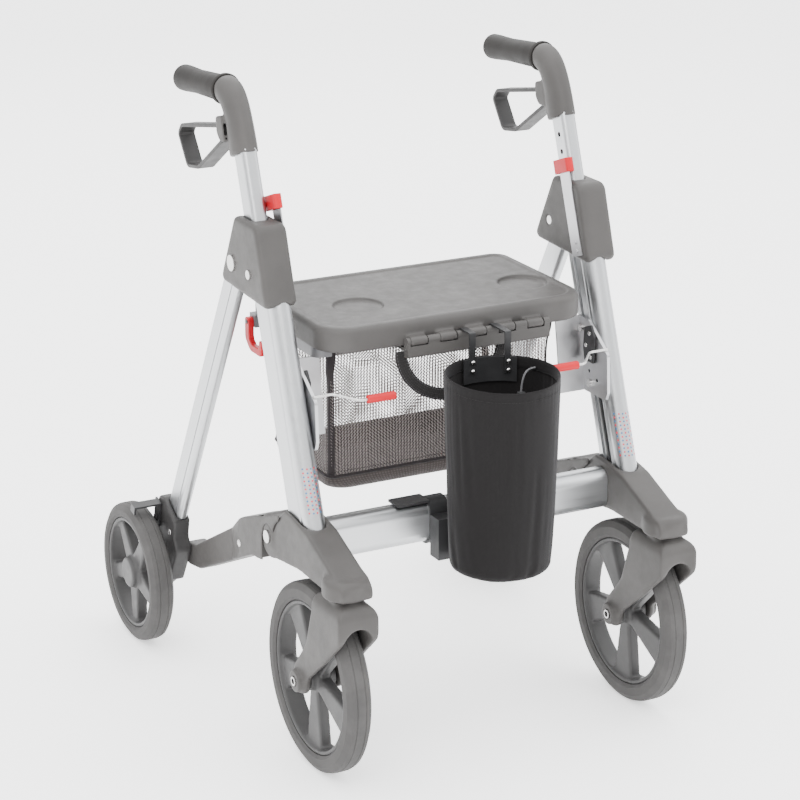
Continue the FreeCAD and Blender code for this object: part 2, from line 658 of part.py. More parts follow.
def hinge_rail():
    """A bar with a pinned knuckle between the lid's tabs and a flat web to the seat frame."""
    y, z = HINGE_AXIS
    y0, y1 = RAIL_Y
    z0, z1 = RAIL_Z
    bar = slab([(y0, z0, 3), (y1, z0, 1), (y1, z1), (y0, z1)], *RAIL_X)
    web = box(*RAIL_X, y1 - 1, FRAME_Y[0] - GAP, FRAME_Z[1] - 5, FRAME_Z[1] - 1)
    knuckle = disc(HINGE_AXIS, KNUCKLE_R, *RAIL_X)
    spaces = []
    for x in tab_positions():
        near, far = x - TAB_HALF - GAP, x + TAB_HALF + GAP
        spaces.append(disc(HINGE_AXIS, 7, near, far))
        spaces.append(slab([(y, z - 7), (-148, z - 7), (-148, z + 12), (y, z + 12)], near, far))
    pin = disc(HINGE_AXIS, 2.5, *RAIL_X)
    return union([union([bar, web, knuckle]).cut(union(spaces)), pin])


HOOK_PIVOT = (70.0, 519.0)


def seat_frame():
    z0, z1 = FRAME_Z
    front, rear = FRAME_Y
    half, bar = FRAME_HALF, 14
    outer = rounded_box(-half, half, front, rear, z0, z1, 14)
    inner = rounded_box(bar - half, half - bar, front + bar, rear - bar, z0 - 1, z1 + 1, 8)
    hook_tab = box(-half - 9, 1 - half, HOOK_PIVOT[0] - 10, HOOK_PIVOT[0] + 8, z0 - 2, z1 - 1)
    hook_pin = disc(HOOK_PIVOT, 2.5, -204.5, -194)
    return union([outer.cut(inner), hook_tab, hook_pin])


def frame_hook():
    y, z = HOOK_PIVOT
    stem = slab([(y - 6, z + 6, 5), (y - 7, z - 22, 6), (y - 14, z - 28, 6), (y - 36, z - 28, 2),
                 (y - 38, z - 16, 3), (y - 46, z - 16, 3), (y - 46, z - 38, 8),
                 (y - 8, z - 38, 16), (y + 7, z - 24, 12), (y + 7, z + 6, 5)], -203, -195 - GAP)
    return stem.cut(disc(HOOK_PIVOT, 2.5 + RUNNING, -210, -190))


def basket():
    half, (front, rear) = BASKET_HALF_WIDTH, BASKET_Y
    top = FRAME_Z[0] - GAP
    curve = 45.0
    side = [(front, top), (front, BASKET_FLOOR_Z, curve), (rear, BASKET_FLOOR_Z, curve),
            (rear, top)]
    wall = BASKET_WALL
    cavity = [(front + wall, top + 1), (front + wall, BASKET_FLOOR_Z + wall, curve - wall),
              (rear - wall, BASKET_FLOOR_Z + wall, curve - wall), (rear - wall, top + 1)]
    shell = slab(side, -half, half).cut(slab(cavity, -half + wall, half - wall))
    hem = box(-half - 7, half + 7, front - 3, rear, top - 4, top)
    hem = hem.cut(box(-half + wall, half - wall, front + wall, rear - wall, top - 6, top + 1))
    return union([shell, hem])


def fold_strap():
    """A flat webbing loop hanging behind the hinge rail, in front of the basket."""
    centre_x, half_span, drop, width = -16.0, 82.0, 75.0, 16.0
    top = FRAME_Z[1] - 5 - GAP
    face = []
    for shrink in (0.0, width):
        curve = Part.Ellipse(V(centre_x, RAIL_Y[1] + GAP, top), half_span - shrink, drop - shrink)
        curve.Axis = V(0, 1, 0)
        curve.XAxis = V(1, 0, 0)
        face.append(Part.Face(Part.Wire(curve.toShape())).extrude(V(0, 2, 0)))
    loop = face[0].cut(face[1])
    return loop.common(box(-200, 200, -160, -140, top - 200, top))


# ---- seat carriers on the legs, with their release levers
CARRIER_X = (LEG_X - LEG_WIDTH / 2 - 4.2, LEG_X - LEG_WIDTH / 2)
RELEASE_PIVOT = (-160.0, 484.0)
WIRE_R = 1.75
SLEEVE_R = 5.5
CARRIER_SCREW_Z = (503.0, 432.0)


def seat_carrier():
    web = slab([(-90, FRAME_Z[0]), (-116, FRAME_Z[0], 4), (-166, 478, 8), (-169, 426, 6),
                (-164, 414, 4), (-108, 414, 3)], *CARRIER_X)
    flange = slab([(-93.2, FRAME_Z[0]), (-90, FRAME_Z[0]), (-106.8, 414), (-110, 414)],
                  175, CARRIER_X[1])
    holes = [disc((-136 + dy, z), 2.5, 200, 220) for dy, z in ((0, 468), (12, 462), (-6, 436),
                                                              (14, 444))]
    holes += [disc(leg_point(z, POST_OFFSET), 3 + RUNNING, 200, 220) for z in CARRIER_SCREW_Z]
    holes.append(disc(RELEASE_PIVOT, WIRE_R + RUNNING, 200, 220))
    return union([web, flange]).cut(union(holes))


def carrier_screws():
    screws = []
    for z in CARRIER_SCREW_Z:
        spot = leg_point(z, POST_OFFSET)
        screws.append(union([disc(spot, 3, CARRIER_X[0] - 1, CARRIER_X[1] + 3),
                             disc(spot, 5, CARRIER_X[0] - 4, CARRIER_X[0])]))
    return screws


def release_route():
    y, z = RELEASE_PIVOT
    return [V(CARRIER_X[1] - 0.5, y, z), V(188, y, z), V(164, y - 28, z - 4),
            V(116, y - 28, z - 4)]


def release_wire():
    return bent_rod(release_route(), WIRE_R, 12.0)


def release_sleeve():
    end = release_route()[-1]
    outer = Part.makeCylinder(SLEEVE_R, 40, end - X_AXIS * 2, X_AXIS)
    outer = outer.makeFillet(2.0, [outer.Edges[0], outer.Edges[2]])
    return outer.cut(Part.makeCylinder(WIRE_R + RUNNING, 50, end, X_AXIS))


# ---- height catch on the inner side of the cover
CATCH_TOP_Z = 705.0
CATCH_DEPTH = (-20, 4)


def catch_strip():
    face = COVER_X[0] - GAP
    low, high = station(592), station(CATCH_TOP_Z)
    strip = box(face - 1.5, face, *CATCH_DEPTH, low, high)
    rivets = [Part.makeCylinder(3, 1.2, V(face - 2.7, -8, s), X_AXIS) for s in (low + 7, low + 19)]
    return leg_frame(union([strip] + rivets))


def catch_cap():
    face = COVER_X[0] - GAP - 1.5
    low, high = station(698), station(716)
    post_face = POST_X - POST_WIDTH / 2
    cap = rounded_box(face - 3, post_face - 3, -23, 15, low, high, 4)
    strip_slot = box(face - RUNNING, face + 1.5 + RUNNING, CATCH_DEPTH[0] - 0.1,
                     CATCH_DEPTH[1] + 0.1,
                     low - 1, station(CATCH_TOP_Z) + 0.1)
    pin_z = (low + high) / 2
    pin = Part.makeCylinder(2.5, 3.2, V(post_face - 3.5, POST_OFFSET, pin_z), X_AXIS)
    return leg_frame(union([cap.cut(strip_slot), pin]))


# ---- bag, its hanger, clamp and drawstring
def bag_radius(z):
    """The bag's outer radius at a height: it narrows towards its foot."""
    z0, z1 = BAG_Z
    return BAG_FOOT_R + (BAG_R - BAG_FOOT_R) * (z - z0) / (z1 - z0)


def bag_form(grow, z0, z1):
    x, y = BAG_CENTRE
    return Part.makeCone(bag_radius(z0) + grow, bag_radius(z1) + grow, z1 - z0, V(x, y, z0))


def bag():
    z0, z1 = BAG_Z
    outer = bag_form(0.0, z0, z1)
    outer = outer.makeFillet(BAG_FLOOR_CURVE, [e for e in outer.Edges if e.BoundBox.ZMax < z0 + 1])
    floor_z = z0 + BAG_WALL
    inner = bag_form(-BAG_WALL, floor_z, z1 + 2)
    inner_edges = [e for e in inner.Edges if e.BoundBox.ZMax < floor_z + 1]
    return outer.cut(inner.makeFillet(BAG_FLOOR_CURVE - BAG_WALL, inner_edges))


def bag_hanger():
    """Riveted plate inside the bag with two strips that hook over the hinge rail."""
    x, y = BAG_CENTRE
    z0, z1 = 478, 511
    plate_r = bag_radius(z0) - BAG_WALL - GAP
    plate = Part.makeCylinder(plate_r, z1 - z0, V(x, y, z0))
    plate = plate.cut(Part.makeCylinder(plate_r - 2.5, z1 - z0, V(x, y, z0)))
    pieces = [plate.common(box(BAG_HOOK_X - 36, BAG_HOOK_X + 32, y, y + BAG_R, z0, z1))]
    top = HINGE_AXIS[1] + KNUCKLE_R + GAP
    tail = HINGE_AXIS[0] + KNUCKLE_R + GAP
    for side in (-0.5, 0.5):
        centre = BAG_HOOK_X + side * HOOK_SPACING
        back = y + math.sqrt(plate_r ** 2 - (abs(centre - x) + 5) ** 2)
        strip = [(back, 490), (back, top), (tail, top, 5.4), (tail, top - 10),
                 (tail + 1.6, top - 10), (tail + 1.6, top + 1.8, 7), (back - 1.8, top + 1.8, 2),
                 (back - 1.8, 490)]
        pieces.append(slab(strip, centre - 4.5, centre + 4.5))
        for z in (494, 506):
            pieces.append(Part.makeCylinder(3, 3, V(centre, back - 1, z), V(0, -1, 0)))
    return union(pieces)


def bag_clamp():
    """A strap round the beam with a flat top plate and a pad that steadies the bag."""
    y, z = BEAM_CENTRE
    near, far = -62, -34
    band = slab(beam_outline(3.5), near, far).cut(slab(beam_outline(GAP), near - 1, far + 1))
    front = y - BEAM_SIZE[0] / 2 - 3.5
    top = z + BEAM_SIZE[1] / 2
    plate = box(near - 44, near + 2, y - 14, y + 14, top + GAP, top + 3.5)
    pad = box(near, far, BAG_CENTRE[1] + BAG_R - 28, front + 1, z - 42, z + 14)
    pad = pad.cut(bag_form(GAP, z - 60, z + 30))
    return union([band, plate, pad])


CORD_R = 1.2
CORD_ANGLE = 24.0
CORD_STEPS = [(0.4, 500), (12, 502), (23, 498), (29, 487), (30, 475)]


def cord_point(inwards, z):
    """A point inside the bag's mouth, this far inwards from the wall."""
    turn = math.radians(CORD_ANGLE)
    reach = bag_radius(CORD_STEPS[0][1]) - BAG_WALL - inwards
    return V(BAG_CENTRE[0] + reach * math.cos(turn), BAG_CENTRE[1] + reach * math.sin(turn), z)


CORD_ROUTE = [cord_point(inwards, z) for inwards, z in CORD_STEPS]


def corded_path(points):
    """Straight runs joined by tangent arcs, each as large as its two runs allow."""
    edges, start, radii = [], points[0], []
    for i in range(1, len(points) - 1):
        corner = points[i]
        before, after = points[i - 1] - corner, points[i + 1] - corner
        run = min(before.Length, after.Length)
        before.normalize()
        after.normalize()
        half_turn = (math.pi - before.getAngle(after)) / 2
        radius = 0.45 * run / math.tan(half_turn)
        reach = 0.45 * run
        bisector = (before + after).normalize()
        middle = corner + bisector * (radius / math.cos(half_turn) - radius)
        edges.append(Part.LineSegment(start, corner + before * reach).toShape())
        edges.append(Part.Arc(corner + before * reach, middle, corner + after * reach).toShape())
        start = corner + after * reach
        radii.append(round(radius, 1))
    edges.append(Part.LineSegment(start, points[-1]).toShape())
    return Part.Wire(edges), radii


def drawstring():
    path, radii = corded_path(CORD_ROUTE)
    section = Part.Wire(Part.makeCircle(CORD_R, CORD_ROUTE[0], CORD_ROUTE[1] - CORD_ROUTE[0]))
    tube = path.makePipeShell([section], True, False)
    print("drawstring radii", radii, "length", round(path.Length, 1),
          "volume ratio", round(tube.Volume / (math.pi * CORD_R ** 2 * path.Length), 4))
    return tube


def cord_toggle():
    along = (CORD_ROUTE[-1] - CORD_ROUTE[-2]).normalize()
    barrel = Part.makeCylinder(5.5, 17, CORD_ROUTE[-1], along)
    return barrel


# ---- files
def export(name, solids):
    """Writes one node, moved so that the origin is at the middle of the footprint."""
    shapes = solids if isinstance(solids, list) else [solids]
    shape = Part.makeCompound(shapes) if len(shapes) > 1 else shapes[0]
    shape.translate(V(0, -MID_Y, 0))
    for solid in shape.Solids:
        assert solid.isValid(), name
    shape.exportStep(os.path.join("parts", name + ".step"))
    print(name, len(shape.Solids), round(shape.Volume / 1000, 1), "cm3")


def mirrored(shape):
    return shape.mirror(V(0, 0, 0), X_AXIS)


def export_pair(name, solids):
    """Writes the left node and its mirror image, the right one."""
    shapes = solids if isinstance(solids, list) else [solids]
    export(name + "_right", [mirrored(s) for s in shapes])
    export(name + "_left", [s.copy() for s in shapes])


def main():
    os.makedirs("parts", exist_ok=True)
    export_pair("front_leg", front_leg())
    export_pair("front_casting", front_casting())
    export_pair("junction_cover", junction_cover())
    export_pair("post", post())
    export_pair("handle_head", handle_head())
    export_pair("grip", grip())
    export_pair("brake_lever", brake_lever())
    export_pair("rear_leg", rear_leg())
    export_pair("rear_bracket", rear_bracket())
    export_pair("rear_arm", rear_arm())
    export_pair("brake_shoe", brake_shoe())
    export_pair("rear_axle", axle(REAR_AXLE, BRACKET_X[0] + 3, REAR_TRACK_X + 13.5))
    export_pair("rear_hub", hub(REAR_AXLE, REAR_WHEEL_R - REAR_TYRE_DEPTH - RUNNING, 22, 17,
                                (15, 10), REAR_TRACK_X, REAR_TRACK_X + 14))
    export_pair("rear_tyre", tyre(REAR_AXLE, REAR_WHEEL_R, REAR_TYRE_DEPTH, REAR_TRACK_X))
    export_pair("caster_fork", caster_fork())
    export_pair("front_axle", front_axle())
    export_pair("front_hub", hub(FRONT_AXLE, FRONT_WHEEL_R - FRONT_TYRE_DEPTH - RUNNING, 16, 18.5,
                                 (10, 22), FRONT_TRACK_X, FRONT_TRACK_X + 40))
    export_pair("front_tyre", tyre(FRONT_AXLE, FRONT_WHEEL_R, FRONT_TYRE_DEPTH, FRONT_TRACK_X))
    export_pair("seat_carrier", seat_carrier())
    export_pair("release_wire", release_wire())
    export_pair("release_sleeve", release_sleeve())
    export_pair("catch_strip", catch_strip())
    export_pair("catch_cap", catch_cap())
    bolts = pivot_bolts()
    export("pivot_bolts", bolts + [mirrored(b) for b in bolts])
    screws = carrier_screws()
    export("carrier_screws", screws + [mirrored(s) for s in screws])
    export("cross_beam", cross_beam())
    export("seat_lid", seat_lid())
    export("hinge_rail", hinge_rail())
    export("seat_frame", seat_frame())
    export("frame_hook", frame_hook())
    export("basket", basket())
    export("fold_strap", fold_strap())
    export("bag", bag())
    export("bag_hanger", bag_hanger())
    export("bag_clamp", bag_clamp())
    export("drawstring", drawstring())
    export("cord_toggle", cord_toggle())


main()
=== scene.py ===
import json
import math

import bmesh
import bpy
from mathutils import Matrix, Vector, noise
from mathutils.bvhtree import BVHTree

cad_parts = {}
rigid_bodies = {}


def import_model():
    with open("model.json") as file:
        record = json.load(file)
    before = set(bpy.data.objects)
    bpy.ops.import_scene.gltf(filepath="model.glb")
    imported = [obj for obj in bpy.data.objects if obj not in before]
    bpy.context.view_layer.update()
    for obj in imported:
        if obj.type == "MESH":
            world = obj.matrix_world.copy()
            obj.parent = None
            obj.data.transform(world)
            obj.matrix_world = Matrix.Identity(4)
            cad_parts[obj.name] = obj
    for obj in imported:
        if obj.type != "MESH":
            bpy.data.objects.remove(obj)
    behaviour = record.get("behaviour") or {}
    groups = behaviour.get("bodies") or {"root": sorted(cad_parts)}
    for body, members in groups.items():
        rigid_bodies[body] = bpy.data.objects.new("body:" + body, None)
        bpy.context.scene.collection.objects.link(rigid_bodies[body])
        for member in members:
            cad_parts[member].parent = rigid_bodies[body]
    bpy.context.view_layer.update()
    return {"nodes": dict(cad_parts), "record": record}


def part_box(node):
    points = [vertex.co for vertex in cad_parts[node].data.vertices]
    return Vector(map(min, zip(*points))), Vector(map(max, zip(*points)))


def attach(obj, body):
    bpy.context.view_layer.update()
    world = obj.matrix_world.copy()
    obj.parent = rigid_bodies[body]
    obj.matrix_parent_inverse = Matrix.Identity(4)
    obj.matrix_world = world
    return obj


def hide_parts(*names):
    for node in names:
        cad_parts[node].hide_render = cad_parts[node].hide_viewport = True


bl_info = {
    "name": "Rollator Walker",
    "version": (1, 0, 0),
    "blender": (4, 5, 0),
    "location": "View3D > Sidebar > Walker",
    "description": "Surfaces, cloth and fittings of a four-wheeled rollator walker",
    "category": "Object",
}

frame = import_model()
SIDES = ("right", "left")
SIGN = {"right": -1.0, "left": 1.0}
MM = 0.001
# The front legs: how far they lean, and a point on their middle line (y, z).
LEG_LEAN = math.radians(19.6)
LEG_POINT = (-0.105, 0.600)


# ---- small helpers
def sized(name, default, description):
    return bpy.props.FloatProperty(name=name, description=description, default=default,
                                   unit="LENGTH", min=0.0, precision=5)


def tint(name, default, description):
    return bpy.props.FloatVectorProperty(name=name, description=description, default=default,
                                         subtype="COLOR", size=3, min=0.0, max=1.0)


def settings():
    return bpy.context.scene.walker


def link(obj):
    bpy.context.scene.collection.objects.link(obj)
    return obj


def mesh_piece(name, verts, faces, smooth=True, outward=True):
    """A new mesh object in row coordinates."""
    mesh = bpy.data.meshes.new(name)
    mesh.from_pydata([tuple(v) for v in verts], [], faces)
    if outward:
        bm = bmesh.new()
        bm.from_mesh(mesh)
        bmesh.ops.remove_doubles(bm, verts=bm.verts, dist=1e-6)
        bmesh.ops.recalc_face_normals(bm, faces=bm.faces)
        bm.to_mesh(mesh)
        bm.free()
    for polygon in mesh.polygons:
        polygon.use_smooth = smooth
    return link(bpy.data.objects.new(name, mesh))


def applied(obj, name=None):
    """The object with its modifiers turned into plain mesh."""
    bpy.context.view_layer.update()
    graph = bpy.context.evaluated_depsgraph_get()
    mesh = bpy.data.meshes.new_from_object(obj.evaluated_get(graph), depsgraph=graph)
    if name:
        mesh.name = name
    if obj.type != "MESH":
        new = link(bpy.data.objects.new(name or obj.name, mesh))
        bpy.data.objects.remove(obj)
        return new
    obj.modifiers.clear()
    obj.data = mesh
    return obj


def place(piece, body, slot, finish, *nodes):
    """Gives a finished piece its material and body, and hides the nodes it stands for; the slot is
    not used.
    """
    if piece.type == "MESH":
        piece.data.materials.clear()
    piece.data.materials.append(finish)
    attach(piece, body)
    if nodes:
        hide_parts(*nodes)
    return piece


def body_of_node(node):
    for body, nodes in frame["record"]["behaviour"]["bodies"].items():
        if node in nodes:
            return body
    raise KeyError(node)


def slot_of_node(node):
    for part in frame["record"]["subparts"]:
        if part["node"] == node:
            return part["material_slot"]
    raise KeyError(node)


# ---- material building
class Graph:
    """Builds one material's nodes."""

    def __init__(self, name):
        self.material = bpy.data.materials.new(name)
        self.material.use_nodes = True
        self.tree = self.material.node_tree
        self.tree.nodes.clear()
        self.out = self.tree.nodes.new("ShaderNodeOutputMaterial")
        self.shader = self.tree.nodes.new("ShaderNodeBsdfPrincipled")
        self.tree.links.new(self.shader.outputs[0], self.out.inputs[0])
        self.coords = self.tree.nodes.new("ShaderNodeTexCoord")

    def add(self, kind, inputs=None, **fields):
        node = self.tree.nodes.new(kind)
        for key, value in fields.items():
            setattr(node, key, value)
        for key, value in (inputs or {}).items():
            if isinstance(value, bpy.types.NodeSocket):
                self.tree.links.new(value, node.inputs[key])
            else:
                node.inputs[key].default_value = value
        return node

    def set(self, **values):
        for key, value in values.items():
            socket = self.shader.inputs[key.replace("_", " ")]
            if isinstance(value, bpy.types.NodeSocket):
                self.tree.links.new(value, socket)
            elif socket.type == "RGBA":
                socket.default_value = (*value, 1.0)
            else:
                socket.default_value = value

    def mapped(self, scale=(1, 1, 1), turn=(0, 0, 0), shift=(0, 0, 0), source="Object"):
        return self.add("ShaderNodeMapping", {"Vector": self.coords.outputs[source],
                                              "Scale": scale, "Rotation": turn,
                                              "Location": shift}).outputs[0]

    def noise(self, vector, scale, detail=3.0, rough=0.5):
        return self.add("ShaderNodeTexNoise", {"Vector": vector, "Scale": scale,
                                               "Detail": detail, "Roughness": rough}).outputs[0]

    def ramp(self, value, low, high, out_low, out_high):
        return self.add("ShaderNodeMapRange", {"Value": value, "From Min": low, "From Max": high,
                                               "To Min": out_low, "To Max": out_high}).outputs[0]

    def mix(self, share, first, second):
        node = self.add("ShaderNodeMix", data_type="RGBA")
        for socket, value in ((node.inputs[0], share), (node.inputs[6], first),
                              (node.inputs[7], second)):
            if isinstance(value, bpy.types.NodeSocket):
                self.tree.links.new(value, socket)
            elif socket.type == "RGBA":
                socket.default_value = (*value, 1.0)
            else:
                socket.default_value = value
        return node.outputs[2]

    def math(self, operation, first, second=0.0):
        return self.add("ShaderNodeMath", {0: first, 1: second}, operation=operation).outputs[0]

    def bump(self, height, distance, strength=1.0, after=None):
        inputs = {"Height": height, "Distance": distance, "Strength": strength}
        if after is not None:
            inputs["Normal"] = after
        return self.add("ShaderNodeBump", inputs).outputs[0]


def shade(colour, factor):
    return tuple(min(1.0, channel * factor) for channel in colour)


def moulded(name, colour, rough=0.5, grain=0.00006, mottling=0.10, gloss=0.22):
    """Moulded plastic: spark-eroded grain, faint flow mottling and rubbed patches."""
    g = Graph(name)
    at = g.coords.outputs["Object"]
    cloud = g.noise(at, 14.0, 4.0)
    patches = g.ramp(cloud, 0.35, 0.65, 0.0, 1.0)
    grain_noise = g.noise(at, 1500.0, 2.0)
    rubbed = g.noise(at, 60.0, 5.0, 0.65)
    base = g.mix(patches, shade(colour, 1.0 - mottling), shade(colour, 1.0 + mottling))
    fleck = g.ramp(grain_noise, 0.62, 0.75, 0.0, 0.35)
    g.set(Base_Color=g.mix(fleck, base, shade(colour, 1.35)),
          Roughness=g.ramp(rubbed, 0.3, 0.7, rough - 0.07, rough + 0.07),
          Normal=g.bump(grain_noise, grain))
    g.shader.inputs["Specular IOR Level"].default_value = gloss
    return g.material


def metal(name, colour, rough=0.3, streak=(900, 900, 8), turn=0.0, depth=0.000012):
    """Drawn or brushed metal: long fine streaks and slight stains."""
    g = Graph(name)
    lines = g.noise(g.mapped(scale=streak, turn=(turn, 0, 0)), 1.0, 3.0, 0.6)
    stains = g.noise(g.coords.outputs["Object"], 22.0, 4.0)
    tone = g.mix(g.ramp(lines, 0.35, 0.65, 0.0, 1.0), shade(colour, 0.96), shade(colour, 1.03))
    g.set(Base_Color=g.mix(g.ramp(stains, 0.45, 0.75, 0.0, 0.25), tone, shade(colour, 0.85)),
          Metallic=1.0,
          Roughness=g.ramp(lines, 0.3, 0.7, rough - 0.06, rough + 0.08),
          Normal=g.bump(lines, depth))
    return g.material


def painted(name, colour, rough=0.4, flake=0.0):
    """Powder-coated metal with orange peel."""
    g = Graph(name)
    at = g.coords.outputs["Object"]
    peel = g.noise(at, 420.0, 2.0)
    dust = g.noise(at, 35.0, 5.0, 0.6)
    g.set(Base_Color=g.mix(g.ramp(dust, 0.5, 0.8, 0.0, 0.4), colour, shade(colour, 1.5)),
          Metallic=flake,
          Roughness=g.ramp(dust, 0.3, 0.7, rough - 0.05, rough + 0.1),
          Normal=g.bump(peel, 0.00004))
    g.shader.inputs["Specular IOR Level"].default_value = 0.3
    return g.material


def rubber(name, colour, rough=0.75):
    """Tyre and grip rubber: fine pores and dusty wear."""
    g = Graph(name)
    at = g.coords.outputs["Object"]
    pores = g.noise(at, 1100.0, 3.0, 0.6)
    dust = g.noise(at, 28.0, 6.0, 0.65)
    g.set(Base_Color=g.mix(g.ramp(dust, 0.42, 0.7, 0.0, 1.0), shade(colour, 0.88),
                           shade(colour, 1.2)),
          Roughness=g.ramp(dust, 0.3, 0.7, rough - 0.08, rough + 0.08),
          Normal=g.bump(pores, 0.00008))
    g.shader.inputs["Specular IOR Level"].default_value = 0.2
    return g.material


def woven(name, colour, pitch=0.0008, rough=0.85, sheen=0.35, lift=0.00012, slub=0.12):
    """Plain-weave cloth: warp and weft read from the piece's own UV map, in metres."""
    g = Graph(name)
    uv = g.coords.outputs["UV"]
    tiles = 1.0 / pitch
    warp = g.add("ShaderNodeTexWave", {"Vector": uv, "Scale": tiles / 6.2832, "Distortion": 0.4,
                                       "Detail": 1.0, "Detail Scale": 2.0},
                 bands_direction="X").outputs["Fac"]
    weft = g.add("ShaderNodeTexWave", {"Vector": uv, "Scale": tiles / 6.2832, "Distortion": 0.4,
                                       "Detail": 1.0, "Detail Scale": 2.0},
                 bands_direction="Y").outputs["Fac"]
    height = g.math("MULTIPLY", warp, weft)
    cloud = g.noise(uv, 9.0, 5.0, 0.6)
    tone = g.mix(g.ramp(height, 0.0, 0.7, 0.0, 1.0), shade(colour, 0.7), shade(colour, 1.15))
    g.set(Base_Color=g.mix(g.ramp(cloud, 0.35, 0.7, 0.0, slub * 3), tone, shade(colour, 1.5)),
          Roughness=g.ramp(cloud, 0.3, 0.7, rough - 0.06, rough + 0.06),
          Normal=g.bump(height, lift))
    g.shader.inputs["Specular IOR Level"].default_value = 0.15
    g.shader.inputs["Sheen Weight"].default_value = sheen
    g.shader.inputs["Sheen Roughness"].default_value = 0.45
    g.shader.inputs["Sheen Tint"].default_value = (0.75, 0.74, 0.76, 1.0)
    return g.material


def netting(name, colour, cell=0.0044, open_share=0.50, rough=0.7):
    """Knitted mesh: rows of open cells whose slant turns every few columns."""
    g = Graph(name)
    split = g.add("ShaderNodeSeparateXYZ", {"Vector": g.coords.outputs["UV"]})
    u, v = split.outputs[0], split.outputs[1]
    column = g.math("PINGPONG", u, cell * 9)
    slanted = g.math("ADD", v, g.math("MULTIPLY", column, 0.9))
    along = g.math("MULTIPLY", u, 2 * math.pi / cell)
    across = g.math("MULTIPLY", slanted, 2 * math.pi / cell)
    wave_u = g.math("SINE", along)
    wave_v = g.math("SINE", across)
    field = g.math("ADD", wave_u, wave_v)
    edge = 2.0 - 4.0 * open_share
    solid = g.ramp(field, edge - 0.25, edge + 0.25, 1.0, 0.0)
    fibre = g.noise(g.mapped(scale=(1, 1, 1), source="UV"), 900.0, 3.0, 0.6)
    g.set(Base_Color=g.mix(g.ramp(fibre, 0.3, 0.7, 0.0, 1.0), shade(colour, 0.75),
                           shade(colour, 1.3)),
          Alpha=solid, Roughness=g.ramp(fibre, 0.3, 0.7, rough - 0.08, rough + 0.08),
          Normal=g.bump(field, 0.0004))
    g.shader.inputs["Sheen Weight"].default_value = 0.2
    return g.material


FINISHES = {}


def build_finishes():
    s = settings()
    tilt = math.radians(19.6)
    FINISHES.update(
        satin_aluminium=metal("anodised_extrusion", s.aluminium, 0.34, turn=tilt),
        beam_aluminium=metal("anodised_beam", s.aluminium, 0.34, streak=(8, 900, 900)),
        dot_red=painted("red_print", (0.55, 0.05, 0.08), 0.5),
        dot_blue=painted("blue_print", (0.06, 0.16, 0.32), 0.5),
        grey_plastic=moulded("grey_moulding", s.plastic, 0.48),
        dark_plastic=moulded("dark_moulding", s.dark_plastic, 0.45),
        hub_plastic=moulded("hub_moulding", s.hub, 0.42, mottling=0.07),
        tyre=rubber("tyre_rubber", s.tyre, 0.72),
        grip_rubber=rubber("grip_rubber", s.grip, 0.62),
        red_plastic=moulded("red_moulding", s.red, 0.34, grain=0.00002, mottling=0.06),
        steel=metal("bright_steel", (0.62, 0.61, 0.60), 0.28, streak=(300, 300, 300)),
        black_metal=painted("black_coating", (0.018, 0.018, 0.019), 0.38),
        frame_metal=painted("grey_coating", (0.16, 0.16, 0.165), 0.42, flake=0.3),
        mesh_fabric=netting("basket_netting", s.mesh),
        black_fabric=woven("bag_cloth", s.cloth, sheen=0.10),
        black_plastic=moulded("black_moulding", (0.022, 0.022, 0.023), 0.4),
        webbing=woven("strap_webbing", (0.018, 0.017, 0.017), pitch=0.0016, lift=0.0003, sheen=0.1),
        binding=woven("basket_binding", (0.026, 0.022, 0.023), pitch=0.0010, sheen=0.1),
        dense_mesh=woven("basket_floor_cloth", shade(s.mesh, 0.42), pitch=0.0022, lift=0.0004,
                         sheen=0.15),
        carrier_steel=metal("zinc_plate", (0.50, 0.50, 0.51), 0.36, streak=(60, 60, 60)),
        rivet=metal("rivet_steel", (0.72, 0.71, 0.70), 0.2, streak=(400, 400, 400)),
        cord=woven("drawstring_braid", (0.10, 0.10, 0.105), pitch=0.0007),
    )


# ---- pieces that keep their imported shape
def crisp(node, width=0.0006):
    """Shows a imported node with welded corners, a small bevel and even shading."""
    obj = frame["nodes"][node]
    for polygon in obj.data.polygons:
        polygon.use_smooth = True
    weld = obj.modifiers.new("weld", "WELD")
    weld.merge_threshold = 1e-5
    bevel = obj.modifiers.new("bevel", "BEVEL")
    bevel.width = width
    bevel.segments = 2
    bevel.limit_method = "ANGLE"
    bevel.angle_limit = math.radians(32)
    bevel.use_clamp_overlap = True
    normals = obj.modifiers.new("normals", "WEIGHTED_NORMAL")
    normals.weight = 80
    normals.keep_sharp = False


def dress(node, finish, width=0.0006):
    obj = frame["nodes"][node]
    obj.data.materials.clear()
    obj.data.materials.append(FINISHES[finish])
    crisp(node, width)


def moulding(node, finish, voxel, rounds, name=None):
    """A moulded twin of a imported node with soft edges; the node stays for contact."""
    mesh = frame["nodes"][node].data.copy()
    bm = bmesh.new()
    bm.from_mesh(mesh)
    bmesh.ops.remove_doubles(bm, verts=bm.verts, dist=1e-5)
    bm.to_mesh(mesh)
    bm.free()
    piece = link(bpy.data.objects.new(name or node + "_moulding", mesh))
    remesh = piece.modifiers.new("remesh", "REMESH")
    remesh.mode = "VOXEL"
    remesh.voxel_size = voxel
    smooth = piece.modifiers.new("smooth", "SMOOTH")
    smooth.factor = 0.5
    smooth.iterations = rounds
    applied(piece)
    for polygon in piece.data.polygons:
        polygon.use_smooth = True
    return place(piece, body_of_node(node), slot_of_node(node), FINISHES[finish], node)


